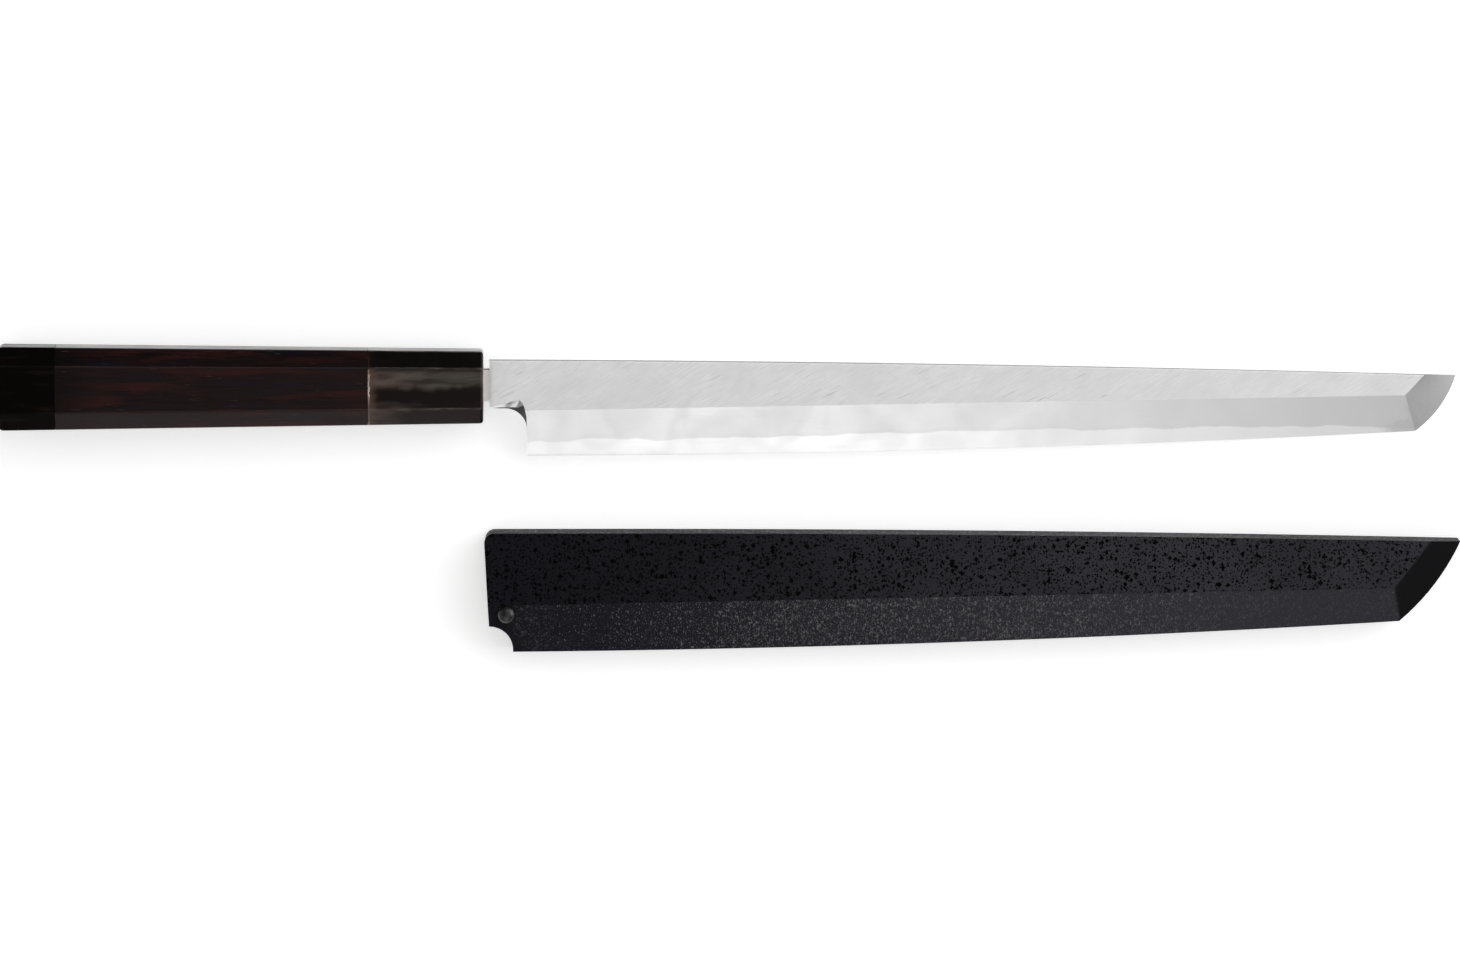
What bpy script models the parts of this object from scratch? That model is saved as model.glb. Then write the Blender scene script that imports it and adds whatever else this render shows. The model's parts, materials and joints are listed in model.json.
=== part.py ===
"""A long single-bevel slicing knife with a sword-like tip, its handle, its sheath and the sheath's locking peg.

The knife's own frame: X runs from the handle to the point and is 0 at the shoulder where the tang
begins, Y runs from the edge to the spine and is 0 on the handle's axis, and Z runs from the flat back
to the ground front and is 0 on the handle's axis. The sheath is drawn in the place that it has round
the blade, with Z = 0 on its back, and is then laid beside the knife.
"""

import math

import bmesh
import bpy
from mathutils import Vector

MM = 0.001

# Blade outline, seen on its ground front
BLADE_LENGTH = 300.0 * MM
NECK_LENGTH = 11.6 * MM
SPINE_RISE_AT_NECK = 8.1 * MM
SPINE_RISE_AT_POINT = 2.5 * MM
SPINE_BOW = 0.9 * MM
HEEL_DROP = 21.9 * MM
CORNER_DROP = 14.9 * MM
EDGE_BOW = 1.8 * MM
TIP_RUN = 12.4 * MM
TIP_BOW = 1.73 * MM
NECK_DROP = 7.0 * MM
CHOIL_RADIUS = 6.8 * MM
CHOIL_CHAMFER = 2.2 * MM
CHOIL_CHAMFER_AT_NECK = 0.45 * MM

# Blade grind
NECK_THICKNESS = 4.0 * MM
TIP_THICKNESS = 2.3 * MM
EDGE_LAND = 0.25 * MM
BEVEL_AT_HEEL = 14.4 * MM
BEVEL_AT_TIP = 11.3 * MM
FACET_ON_SPINE = 9.9 * MM
FACET_ON_RIDGE = 15.8 * MM
HOLLOW_DEPTH = 0.45 * MM
HOLLOW_RIM = 1.8 * MM
HOLLOW_START = 4.0 * MM
HOLLOW_RUN_OUT = 24.0 * MM

# Hard steel, welded under the soft iron
STEEL_AT_NECK = 1.15 * MM
STEEL_AT_TIP = 0.7 * MM
STEEL_BOW = 0.35 * MM
WELD_GAP = 0.05 * MM

# Handle: an octagon that tapers towards the blade, taller than it is wide
SHOULDER_GAP = 1.9 * MM
HANDLE_LENGTH = 150.0 * MM
FERRULE_LENGTH = 35.6 * MM
BUTT_CAP_LENGTH = 18.0 * MM
BUTT_HEIGHT = 26.0 * MM
FRONT_HEIGHT = 22.4 * MM
BUTT_WIDTH = 22.5 * MM
FRONT_WIDTH = 19.8 * MM
BUTT_CORNER_HEIGHT = 5.7 * MM
FRONT_CORNER_HEIGHT = 5.0 * MM
BUTT_CORNER_DEPTH = 4.8 * MM
FRONT_CORNER_DEPTH = 4.4 * MM
ARRIS_RADIUS = 0.45 * MM
BUTT_ROUND = 2.0 * MM
FERRULE_RIM = 1.1 * MM
GLUE_GAP = 0.1 * MM

# Dowels that hold the handle together
CORE_DIAMETER = 14.0 * MM
CORE_RECESS = 1.2 * MM
BUTT_DOWEL_DIAMETER = 8.0 * MM
BUTT_DOWEL_IN_CAP = 10.0 * MM
BUTT_DOWEL_IN_HANDLE = 12.0 * MM
WOOD_BETWEEN_DOWELS = 6.0 * MM
DOWEL_CLEARANCE = 0.15 * MM
DOWEL_END_GAP = 0.5 * MM

# Tang, hidden in the core dowel but for the bit in front of the ferrule
TANG_SHORT_OF_CORE = 4.0 * MM
TANG_HEIGHT = 9.9 * MM
TANG_END_HEIGHT = 5.0 * MM
TANG_OFFSET = 0.3 * MM
TANG_THICKNESS = 3.5 * MM
TANG_END_THICKNESS = 2.0 * MM
TANG_ROOT = 1.0 * MM
TANG_CLEARANCE = 0.3 * MM

# Sheath: two cheeks, with strips along spine, edge and tip between them
SHEATH_MOUTH = 2.0 * MM
BLADE_CLEARANCE = 0.4 * MM
SPINE_WALL = 3.3 * MM
EDGE_WALL = 3.3 * MM
TIP_WALL = 3.3 * MM
CAVITY_THICKNESS = 5.0 * MM
BACK_CHEEK = 4.3 * MM
FRONT_CHEEK_AT_MOUTH = 4.7 * MM
FRONT_CHEEK_AT_TIP = 3.2 * MM
FRONT_CHEEK_AT_EDGE = 1.0 * MM
SHEATH_BEVEL_AT_MOUTH = 14.8 * MM
SHEATH_BEVEL_AT_TIP = 10.6 * MM
SHEATH_FACET_ON_SPINE = 9.5 * MM
SHEATH_FACET_ON_RIDGE = 20.9 * MM
SHEATH_ROUND = 1.6 * MM
MOUTH_CORNER_RADIUS = 3.0 * MM
MOUTH_HEIGHT = 29.2 * MM
MOUTH_LEAN = 1.1 * MM
NOTCH_RADIUS = 7.3 * MM
SEAM_GAP = 0.1 * MM
MITRE_GAP = 0.2 * MM

# Peg that locks the heel in the sheath
PEG_DIAMETER = 5.3 * MM
PEG_END_DIAMETER = 4.2 * MM
PEG_STANDS_OUT = 2.2 * MM
PEG_CHAMFER = 1.1 * MM
PEG_BEHIND_HEEL = 0.4 * MM
PEG_ABOVE_HEEL = 8.4 * MM
PEG_CLEARANCE = 0.1 * MM
PEG_END_RECESS = 0.4 * MM

# Where the sheath lies beside the knife
SHEATH_ASIDE = 57.4 * MM
SHEATH_BACKWARDS = 3.6 * MM
SHEATH_YAW = math.radians(0.57)

# Fineness of the curved forms
BLADE_STATIONS = 32
BLADE_STEPS_ACROSS = 12
BLADE_STEPS_TO_RIDGE = 5
SHEATH_STATIONS = 16
SHEATH_STEPS_ACROSS = 8
SHEATH_STEPS_TO_RIDGE = 4
ARC_STEPS = 20
ROUND_SIDES = 32
PAST = 5.0 * MM
MERGE_DISTANCE = 0.001 * MM

# Places worked out from the sizes above
BACK_LEVEL = -NECK_THICKNESS / 2
RIDGE_END = BLADE_LENGTH - FACET_ON_RIDGE
FERRULE_FACE = -SHOULDER_GAP
FERRULE_BACK = FERRULE_FACE - FERRULE_LENGTH
BUTT_FACE = FERRULE_FACE - HANDLE_LENGTH
CAP_FRONT = BUTT_FACE + BUTT_CAP_LENGTH
BUTT_DOWEL_START = CAP_FRONT - BUTT_DOWEL_IN_CAP
BUTT_DOWEL_END = CAP_FRONT + BUTT_DOWEL_IN_HANDLE
CORE_END = BUTT_DOWEL_END + WOOD_BETWEEN_DOWELS
TANG_END = CORE_END + TANG_SHORT_OF_CORE
CAVITY_TOP = BACK_CHEEK + CAVITY_THICKNESS
SHEATH_START = SHEATH_MOUTH - PAST


def mix(start, end, share):
    return start + (end - start) * share


def spine_line(x):
    share = x / BLADE_LENGTH
    straight = mix(SPINE_RISE_AT_NECK, SPINE_RISE_AT_POINT, share)
    return straight + 4 * SPINE_BOW * share * (1 - share)


def edge_line(x):
    share = (x - NECK_LENGTH) / (BLADE_LENGTH - TIP_RUN - NECK_LENGTH)
    straight = mix(-HEEL_DROP, -CORNER_DROP, share)
    return straight - 4 * EDGE_BOW * share * (1 - share)


class Outline:
    """The blade's outline, grown outwards at the spine, the edge and the tip."""

    def __init__(self, spine_grow=0.0, edge_grow=0.0, tip_grow=0.0):
        self.spine_grow = spine_grow
        self.edge_grow = edge_grow
        point = Vector((BLADE_LENGTH, SPINE_RISE_AT_POINT))
        corner = Vector((BLADE_LENGTH - TIP_RUN, -CORNER_DROP))
        chord = point - corner
        radius = (chord.length_squared / 4 + TIP_BOW**2) / (2 * TIP_BOW)
        outwards = Vector((chord.y, -chord.x)).normalized()
        self.centre = (point + corner) / 2 - outwards * (radius - TIP_BOW)
        self.radius = radius + tip_grow
        self.point = self.meet_tip(self.spine, point.x)
        self.corner = self.meet_tip(self.edge, corner.x)

    def spine(self, x):
        return spine_line(x) + self.spine_grow

    def edge(self, x):
        return edge_line(x) - self.edge_grow

    def meet_tip(self, line, x):
        """Where the spine or the edge runs into the tip's arc."""
        for _ in range(20):
            rise = line(x) - self.centre.y
            x = self.centre.x + math.sqrt(self.radius**2 - rise**2)
        return Vector((x, line(x)))

    def tip(self, share):
        """A place on the tip's arc, from the point (0) to the edge's corner (1)."""
        start = self.point - self.centre
        end = self.corner - self.centre
        angle = mix(math.atan2(start.y, start.x), math.atan2(end.y, end.x), share)
        return self.centre + self.radius * Vector((math.cos(angle), math.sin(angle)))


def loft(rings, close_last=True):
    """A skin through rings of equally many points. It returns the bmesh and its rings of vertices."""
    bm = bmesh.new()
    loops = [[bm.verts.new(point) for point in ring] for ring in rings]
    for near, far in zip(loops, loops[1:]):
        for i in range(len(near)):
            j = (i + 1) % len(near)
            bm.faces.new((near[i], near[j], far[j], far[i]))
    bm.faces.new(loops[0])
    if close_last:
        bm.faces.new(loops[-1])
    return bm, loops


def prism(outline, low, high):
    """A flat outline of (x, y) points, extruded along Z."""
    return loft([[(x, y, level) for x, y in outline] for level in (low, high)])[0]


def arc(centre, radius, first, last):
    """Points on a circle between two angles in degrees."""
    points = []
    for i in range(ARC_STEPS + 1):
        angle = math.radians(mix(first, last, i / ARC_STEPS))
        points.append((centre[0] + radius * math.cos(angle), centre[1] + radius * math.sin(angle)))
    return points


def turned(profile):
    """A body turned about Z from (radius, height) points, with both ends closed."""
    rings = []
    for radius, height in profile:
        ring = []
        for i in range(ROUND_SIDES):
            angle = 2 * math.pi * i / ROUND_SIDES
            ring.append((radius * math.cos(angle), radius * math.sin(angle), height))
        rings.append(ring)
    return loft(rings)[0]


def laid_along_x(bm):
    """Turns a body that stands on the Z axis onto the X axis."""
    for vert in bm.verts:
        vert.co = Vector((vert.co.z, vert.co.x, vert.co.y))
    return bm


def round_edges(bm, edges, radius, segments=3):
    bmesh.ops.bevel(
        bm,
        geom=edges,
        offset=radius,
        segments=segments,
        profile=0.5,
        affect="EDGES",
        material=-1,
        clamp_overlap=True,
    )


def edges_along(bm, loops, index):
    """The edges that join one numbered point of each ring to the same point of the next."""
    return [bm.edges.get((near[index], far[index])) for near, far in zip(loops, loops[1:])]


def tidy(bm):
    bmesh.ops.remove_doubles(bm, verts=bm.verts, dist=MERGE_DISTANCE)
    bmesh.ops.recalc_face_normals(bm, faces=bm.faces)


def colour(name, base, roughness, metallic=0.0):
    material = bpy.data.materials.new(name)
    material.use_nodes = True
    shader = material.node_tree.nodes["Principled BSDF"]
    shader.inputs["Base Color"].default_value = (*base, 1.0)
    shader.inputs["Roughness"].default_value = roughness
    shader.inputs["Metallic"].default_value = metallic
    material.diffuse_color = (*base, 1.0)
    return material


def place(name, bm, parent, material=None):
    """Makes an object of a bmesh. Without a material it is a cutter, which no render shows."""
    tidy(bm)
    mesh = bpy.data.meshes.new(name)
    bm.to_mesh(mesh)
    bm.free()
    solid = bpy.data.objects.new(name, mesh)
    bpy.context.scene.collection.objects.link(solid)
    solid.parent = parent
    if material is None:
        solid.hide_render = True
        solid.display_type = "WIRE"
    else:
        mesh.materials.append(material)
        mesh.shade_smooth()
        mesh.set_sharp_from_angle(angle=math.radians(25))
    return solid


def combine(solid, other, operation):
    """Adds a live Boolean: DIFFERENCE, UNION or INTERSECT."""
    modifier = solid.modifiers.new(operation.lower() + "_" + other.name, "BOOLEAN")
    modifier.operation = operation
    modifier.solver = "EXACT"
    modifier.object = other


def back_shares(across, rim):
    """Shares over a plate's back: a rim at each side, and even steps between the rims."""
    inner = [mix(rim, 1 - rim, k / (across - 2)) for k in range(across - 1)]
    return [0.0] + inner + [1.0]


def ground_plate(outline, start, ridge, facet_on_spine, flat, land, back, stations, across, to_ridge):
    """A plate with a flat front above its ridge, a bevel below it and a facet ground on its tip.

    ridge holds the ridge's two ends. flat(x) is the front's height down to the ridge and land(x) its
    height at the edge. back(x, share) is the back's height, with share 0 at the spine and 1 at the
    edge. Each station has the same points, and to_ridge of its steps lie above the ridge.
    """
    rings = []
    for i in range(stations + 1):
        share = i / stations
        spine_x = mix(start, outline.point.x - facet_on_spine, share)
        edge_x = mix(start, outline.corner.x, share)
        on_spine = Vector((spine_x, outline.spine(spine_x)))
        on_ridge = mix(ridge[0], ridge[1], share)
        on_edge = Vector((edge_x, outline.edge(edge_x)))
        front = []
        for j in range(across + 1):
            if j <= to_ridge:
                spot = mix(on_spine, on_ridge, j / to_ridge)
                height = flat(spot.x)
            else:
                part = (j - to_ridge) / (across - to_ridge)
                spot = mix(on_ridge, on_edge, part)
                height = mix(flat(on_ridge.x), land(on_edge.x), part)
            front.append((*spot, height))
        under = []
        for part in back_shares(across, HOLLOW_RIM / (on_spine - on_edge).length):
            spot = mix(on_spine, on_edge, part)
            under.append((*spot, back(spot.x, part)))
        rings.append(front + under[::-1])
    tip = [outline.tip(j / across) for j in range(across + 1)]
    front = [(*spot, land(spot.x)) for spot in tip]
    under = [(*spot, back(spot.x, j / across)) for j, spot in enumerate(tip)]
    bm, loops = loft(rings + [front + under[::-1]], close_last=False)
    last = loops[-1]
    for j in range(across):
        bm.faces.new((last[j], last[j + 1], last[-2 - j], last[-1 - j]))
    tidy(bm)
    return bm


def blade_front(x):
    return BACK_LEVEL + mix(NECK_THICKNESS, TIP_THICKNESS, x / RIDGE_END)


def blade_land(x):
    return BACK_LEVEL + EDGE_LAND


def blade_back(x, share):
    """The back is flat along spine and edge, with one long shallow hollow ground between its rims."""
    rim = HOLLOW_RIM / (spine_line(x) - edge_line(x))
    across = (share - rim) / (1 - 2 * rim)
    run_in = (x - HOLLOW_START) / HOLLOW_RUN_OUT
    run_out = (RIDGE_END - HOLLOW_RIM - x) / HOLLOW_RUN_OUT
    reach = min(1.0, run_in, run_out)
    if reach <= 0 or not 0 < across < 1:
        return BACK_LEVEL
    return BACK_LEVEL + HOLLOW_DEPTH * math.sin(reach * math.pi / 2) * 4 * across * (1 - across)


def blade_ridge():
    """The ridge between flat and bevel, drawn on backwards from the heel to the shoulder."""
    heel = Vector((NECK_LENGTH, BEVEL_AT_HEEL - HEEL_DROP))
    end = Vector((RIDGE_END, BEVEL_AT_TIP - CORNER_DROP))
    return mix(heel, end, -heel.x / (end.x - heel.x)), end


def blade_blank():
    return ground_plate(
        Outline(),
        0.0,
        blade_ridge(),
        FACET_ON_SPINE,
        blade_front,
        blade_land,
        blade_back,
        BLADE_STATIONS,
        BLADE_STEPS_ACROSS,
        BLADE_STEPS_TO_RIDGE,
    )


def tang_ring(x, clearance=0.0):
    share = x / TANG_END
    half_height = mix(TANG_HEIGHT, TANG_END_HEIGHT, share) / 2 + clearance
    half_thickness = mix(TANG_THICKNESS, TANG_END_THICKNESS, share) / 2 + clearance
    corners = ((1, 1), (-1, 1), (-1, -1), (1, -1))
    return [(x, TANG_OFFSET + a * half_height, b * half_thickness) for a, b in corners]


def choil_cutter():
    """Cuts the notch between shoulder and heel, with a chamfer that is widest round its corner."""
    turn = (NECK_LENGTH - CHOIL_RADIUS, -NECK_DROP - CHOIL_RADIUS)
    path = [Vector((-PAST, -NECK_DROP))]
    widths = [Vector((0, CHOIL_CHAMFER_AT_NECK))]
    for i, spot in enumerate(arc(turn, CHOIL_RADIUS, 90, 0)):
        share = i / ARC_STEPS
        angle = math.pi / 2 * (1 - share)
        width = mix(CHOIL_CHAMFER_AT_NECK, 0.0, share) + CHOIL_CHAMFER * math.sin(2 * angle) ** 2
        path.append(Vector(spot))
        widths.append(width * Vector((math.cos(angle), math.sin(angle))))
    below = [(NECK_LENGTH, -HEEL_DROP - PAST), (-PAST, -HEEL_DROP - PAST)]
    rings = []
    for level, reach in ((BACK_LEVEL - PAST, 0), (0.0, 0), (NECK_THICKNESS, 2)):
        ring = [(*(spot + reach * width), level) for spot, width in zip(path, widths)]
        rings.append(ring + [(*spot, level) for spot in below])
    return loft(rings)[0]


def steel_slab(start, gap):
    """All that lies below the weld between iron and steel, which runs as a shallow arch."""
    low = BACK_LEVEL - PAST
    right = SPINE_RISE_AT_NECK + PAST
    left = -HEEL_DROP - EDGE_BOW - PAST
    rings = []
    for i in range(BLADE_STATIONS + 1):
        x = mix(start, BLADE_LENGTH + PAST, i / BLADE_STATIONS)
        share = x / BLADE_LENGTH
        layer = mix(STEEL_AT_NECK, STEEL_AT_TIP, share) + 4 * STEEL_BOW * share * (1 - share)
        high = BACK_LEVEL + layer + gap
        rings.append([(x, left, low), (x, right, low), (x, right, high), (x, left, high)])
    return loft(rings)[0]


def build_blade(parent, iron, steel):
    choil = place("choil_cutter", choil_cutter(), parent)
    tang = place("tang_blank", loft([tang_ring(TANG_END), tang_ring(TANG_ROOT)])[0], parent)
    weld = place("weld_cutter", steel_slab(-WELD_GAP, WELD_GAP), parent)
    layer = place("steel_layer", steel_slab(-PAST, 0.0), parent)

    cladding = place("blade_iron", blade_blank(), parent, iron)
    combine(cladding, tang, "UNION")
    combine(cladding, weld, "DIFFERENCE")
    combine(cladding, choil, "DIFFERENCE")

    edge = place("edge_steel", blade_blank(), parent, steel)
    combine(edge, layer, "INTERSECT")
    combine(edge, choil, "DIFFERENCE")
    return [cladding, edge]


def octagon(x, inset):
    """The handle's section at x, with each of its faces moved inwards by the inset."""
    share = (x - BUTT_FACE) / HANDLE_LENGTH
    top = mix(BUTT_HEIGHT, FRONT_HEIGHT, share) / 2
    side = mix(BUTT_WIDTH, FRONT_WIDTH, share) / 2
    rise = mix(BUTT_CORNER_HEIGHT, FRONT_CORNER_HEIGHT, share)
    depth = mix(BUTT_CORNER_DEPTH, FRONT_CORNER_DEPTH, share)
    reach = top * depth + (side - depth) * rise - inset * math.hypot(rise, depth)
    top -= inset
    side -= inset
    quarter = [(top, (reach - top * depth) / rise), ((reach - side * rise) / depth, side)]
    half = quarter + [(-y, z) for y, z in quarter[::-1]]
    return [(x, y, z) for y, z in half + [(-y, -z) for y, z in half]]


def octagon_block(sections):
    """A length of the handle through (x, inset) sections, with its long arrises eased."""
    bm, loops = loft([octagon(x, inset) for x, inset in sections])
    arrises = [edge for index in range(8) for edge in edges_along(bm, loops, index)]
    round_edges(bm, arrises, ARRIS_RADIUS, segments=2)
    return bm


def rounded_butt():
    """(x, inset) sections that round the rim of the butt."""
    sections = []
    for angle in (90.0, 67.5, 45.0, 22.5, 0.0):
        turn = math.radians(angle)
        sections.append((BUTT_FACE + BUTT_ROUND * (1 - math.sin(turn)), BUTT_ROUND * (1 - math.cos(turn))))
    return sections


def bore_cutter(name, diameter, start, end, parent):
    radius = diameter / 2 + DOWEL_CLEARANCE
    return place(name, laid_along_x(turned([(radius, start), (radius, end)])), parent)


def build_handle(parent, ebony, pale_horn, black_horn, dowel_wood):
    core_bore = bore_cutter("core_bore", CORE_DIAMETER, CORE_END - DOWEL_END_GAP, PAST, parent)
    butt_bore = bore_cutter(
        "butt_bore",
        BUTT_DOWEL_DIAMETER,
        BUTT_DOWEL_START - DOWEL_END_GAP,
        BUTT_DOWEL_END + DOWEL_END_GAP,
        parent,
    )
    tang_slot = loft([tang_ring(TANG_END - DOWEL_END_GAP, TANG_CLEARANCE), tang_ring(PAST, TANG_CLEARANCE)])
    slot_cutter = place("slot_cutter", tang_slot[0], parent)

    half_gap = GLUE_GAP / 2
    rim = [(FERRULE_BACK + half_gap, 0.0), (FERRULE_FACE - FERRULE_RIM, 0.0), (FERRULE_FACE, FERRULE_RIM)]
    ferrule = place("ferrule", octagon_block(rim), parent, pale_horn)
    combine(ferrule, core_bore, "DIFFERENCE")

    middle = [(CAP_FRONT + half_gap, 0.0), (FERRULE_BACK - half_gap, 0.0)]
    body = place("handle_body", octagon_block(middle), parent, ebony)
    combine(body, core_bore, "DIFFERENCE")
    combine(body, butt_bore, "DIFFERENCE")

    end = rounded_butt() + [(CAP_FRONT - half_gap, 0.0)]
    butt_cap = place("butt_cap", octagon_block(end), parent, black_horn)
    combine(butt_cap, butt_bore, "DIFFERENCE")

    core_radius = CORE_DIAMETER / 2
    core = laid_along_x(turned([(core_radius, CORE_END), (core_radius, FERRULE_FACE - CORE_RECESS)]))
    core_dowel = place("core_dowel", core, parent, dowel_wood)
    combine(core_dowel, slot_cutter, "DIFFERENCE")

    butt_radius = BUTT_DOWEL_DIAMETER / 2
    pin = laid_along_x(turned([(butt_radius, BUTT_DOWEL_START), (butt_radius, BUTT_DOWEL_END)]))
    butt_dowel = place("butt_dowel", pin, parent, dowel_wood)
    return [ferrule, body, butt_cap, core_dowel, butt_dowel]


def sheath_outside():
    return Outline(
        BLADE_CLEARANCE + SPINE_WALL,
        BLADE_CLEARANCE + EDGE_WALL,
        BLADE_CLEARANCE + TIP_WALL,
    )


def sheath_flat(x):
    share = (x - SHEATH_MOUTH) / (BLADE_LENGTH - SHEATH_MOUTH)
    return CAVITY_TOP + SEAM_GAP + mix(FRONT_CHEEK_AT_MOUTH, FRONT_CHEEK_AT_TIP, share)


def sheath_land(x):
    return CAVITY_TOP + SEAM_GAP + FRONT_CHEEK_AT_EDGE


def sheath_ridge(outside):
    start = Vector((SHEATH_START, outside.edge(SHEATH_START) + SHEATH_BEVEL_AT_MOUTH))
    end_x = outside.point.x - SHEATH_FACET_ON_RIDGE
    return start, Vector((end_x, outside.edge(end_x) + SHEATH_BEVEL_AT_TIP))


def sheath_front_at(x, y):
    """The height of the sheath's ground front over a place on its bevel."""
    outside = sheath_outside()
    start, end = sheath_ridge(outside)
    ridge_y = mix(start, end, (x - start.x) / (end.x - start.x)).y
    return mix(sheath_flat(x), sheath_land(x), (ridge_y - y) / (ridge_y - outside.edge(x)))


def cheek(flat, land, back, rounded):
    """One side of the sheath. rounded(a, b) says whether the sharp edge from a to b is rounded."""
    outside = sheath_outside()
    bm = ground_plate(
        outside,
        SHEATH_START,
        sheath_ridge(outside),
        SHEATH_FACET_ON_SPINE,
        flat,
        land,
        back,
        SHEATH_STATIONS,
        SHEATH_STEPS_ACROSS,
        SHEATH_STEPS_TO_RIDGE,
    )
    sharp = [edge for edge in bm.edges if edge.calc_face_angle(0.0) > math.radians(60)]
    rims = [edge for edge in sharp if rounded(edge.verts[0].co, edge.verts[1].co)]
    round_edges(bm, rims, SHEATH_ROUND)
    return bm


def strip(outer, inner):
    """A strip of the sheath's frame between two paths, as thick as the cavity."""
    low = BACK_CHEEK + SEAM_GAP
    rings = []
    for out, into in zip(outer, inner):
        rings.append([(*out, low), (*out, CAVITY_TOP), (*into, CAVITY_TOP), (*into, low)])
    return loft(rings)[0]


def long_strip(outer_line, inner_line, outer_end, inner_end):
    """A strip along the spine or the edge, mitred where it meets the strip round the tip."""
    outer = []
    inner = []
    for i in range(SHEATH_STATIONS + 1):
        outer_x = mix(SHEATH_START, outer_end - MITRE_GAP, i / SHEATH_STATIONS)
        inner_x = mix(SHEATH_START, inner_end - MITRE_GAP, i / SHEATH_STATIONS)
        outer.append((outer_x, outer_line(outer_x)))
        inner.append((inner_x, inner_line(inner_x)))
    return strip(outer, inner)


def mouth_cutter():
    """Trims the sheath's mouth: a round upper corner, a slightly leaning face and a notch at the heel."""
    top = sheath_outside().spine(SHEATH_MOUTH)
    notch_top = top - MOUTH_HEIGHT
    notch_x = SHEATH_MOUTH + MOUTH_LEAN
    bottom = sheath_outside().edge(SHEATH_MOUTH) - PAST
    corner = (SHEATH_MOUTH + MOUTH_CORNER_RADIUS, top - MOUTH_CORNER_RADIUS)
    outline = [(SHEATH_START - PAST, top + PAST), (corner[0], top + PAST)]
    outline += arc(corner, MOUTH_CORNER_RADIUS, 90, 180)
    outline += arc((notch_x, notch_top - NOTCH_RADIUS), NOTCH_RADIUS, 90, 0)
    outline += [(notch_x + NOTCH_RADIUS, bottom), (SHEATH_START - PAST, bottom)]
    return prism(outline, -PAST, 2 * CAVITY_TOP)


def build_sheath(parent, lacquer):
    outside = sheath_outside()
    inside = Outline(BLADE_CLEARANCE, BLADE_CLEARANCE, BLADE_CLEARANCE)
    peg_x, peg_y = peg_place()
    mouth = place("mouth_cutter", mouth_cutter(), parent)
    hole = place("peg_hole", turned(peg_profile(PEG_CLEARANCE, PAST)), parent)
    hole.location = (peg_x, peg_y, 0.0)

    facet_x = outside.point.x - SHEATH_FACET_ON_SPINE
    seat = CAVITY_TOP + SEAM_GAP

    def on_front_spine(a, b):
        middle = (a + b) / 2
        past_facet = max(a.x, b.x) > facet_x + MERGE_DISTANCE
        return min(a.z, b.z) > seat + MERGE_DISTANCE and middle.y > 0 and not past_facet and a.x != b.x

    def on_back_rim(a, b):
        return max(a.z, b.z) < MERGE_DISTANCE and max(a.x, b.x) > SHEATH_START + MERGE_DISTANCE

    front = cheek(sheath_flat, sheath_land, lambda x, share: seat, on_front_spine)
    back = cheek(lambda x: BACK_CHEEK, lambda x: BACK_CHEEK, lambda x, share: 0.0, on_back_rim)
    spine = long_strip(outside.spine, inside.spine, outside.point.x, inside.point.x)
    edge = long_strip(outside.edge, inside.edge, outside.corner.x, inside.corner.x)
    shares = [i / SHEATH_STATIONS for i in range(SHEATH_STATIONS + 1)]
    tip = strip([outside.tip(share) for share in shares], [inside.tip(share) for share in shares])

    front_cheek = place("sheath_front_cheek", front, parent, lacquer)
    back_cheek = place("sheath_back_cheek", back, parent, lacquer)
    spine_strip = place("sheath_spine_strip", spine, parent, lacquer)
    edge_strip = place("sheath_edge_strip", edge, parent, lacquer)
    tip_strip = place("sheath_tip_strip", tip, parent, lacquer)
    for piece in (front_cheek, back_cheek, spine_strip, edge_strip):
        combine(piece, mouth, "DIFFERENCE")
    for piece in (front_cheek, back_cheek):
        combine(piece, hole, "DIFFERENCE")
    return [front_cheek, back_cheek, spine_strip, edge_strip, tip_strip]


def peg_place():
    """Just behind the heel of a sheathed blade, so that the blade can't slide out."""
    return NECK_LENGTH - PEG_BEHIND_HEEL - PEG_DIAMETER / 2, PEG_ABOVE_HEEL - HEEL_DROP


def peg_profile(clearance, past):
    """(radius, height) points of the tapered peg, or of its hole when it has clearance and runs past."""
    top = sheath_front_at(*peg_place()) + PEG_STANDS_OUT
    shoulder = top - PEG_CHAMFER
    slope = (PEG_DIAMETER - PEG_END_DIAMETER) / 2 / (shoulder - PEG_END_RECESS)
    low = PEG_END_RECESS - past
    profile = [(PEG_END_DIAMETER / 2 - slope * past + clearance, low)]
    if past:
        profile.append((PEG_DIAMETER / 2 + slope * past + clearance, shoulder + past))
    else:
        profile += [(PEG_DIAMETER / 2, shoulder), (PEG_DIAMETER / 2 - PEG_CHAMFER, top)]
    return profile


def build_peg(parent, material):
    peg = place("sheath_peg", turned(peg_profile(0.0, 0.0)), parent, material)
    peg.location = (*peg_place(), 0.0)
    return [peg]


def empty(name):
    """An unseen parent, which carries the pieces that are drawn in one frame."""
    carrier = bpy.data.objects.new(name, None)
    bpy.context.scene.collection.objects.link(carrier)
    return carrier


def corners_of(solids):
    """The lowest and highest corner of these solids, as they stand with their modifiers."""
    bpy.context.view_layer.update()
    graph = bpy.context.evaluated_depsgraph_get()
    points = []
    for solid in solids:
        evaluated = solid.evaluated_get(graph)
        points += [evaluated.matrix_world @ vert.co for vert in evaluated.data.vertices]
    low = Vector([min(point[axis] for point in points) for axis in range(3)])
    high = Vector([max(point[axis] for point in points) for axis in range(3)])
    return low, high


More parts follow.
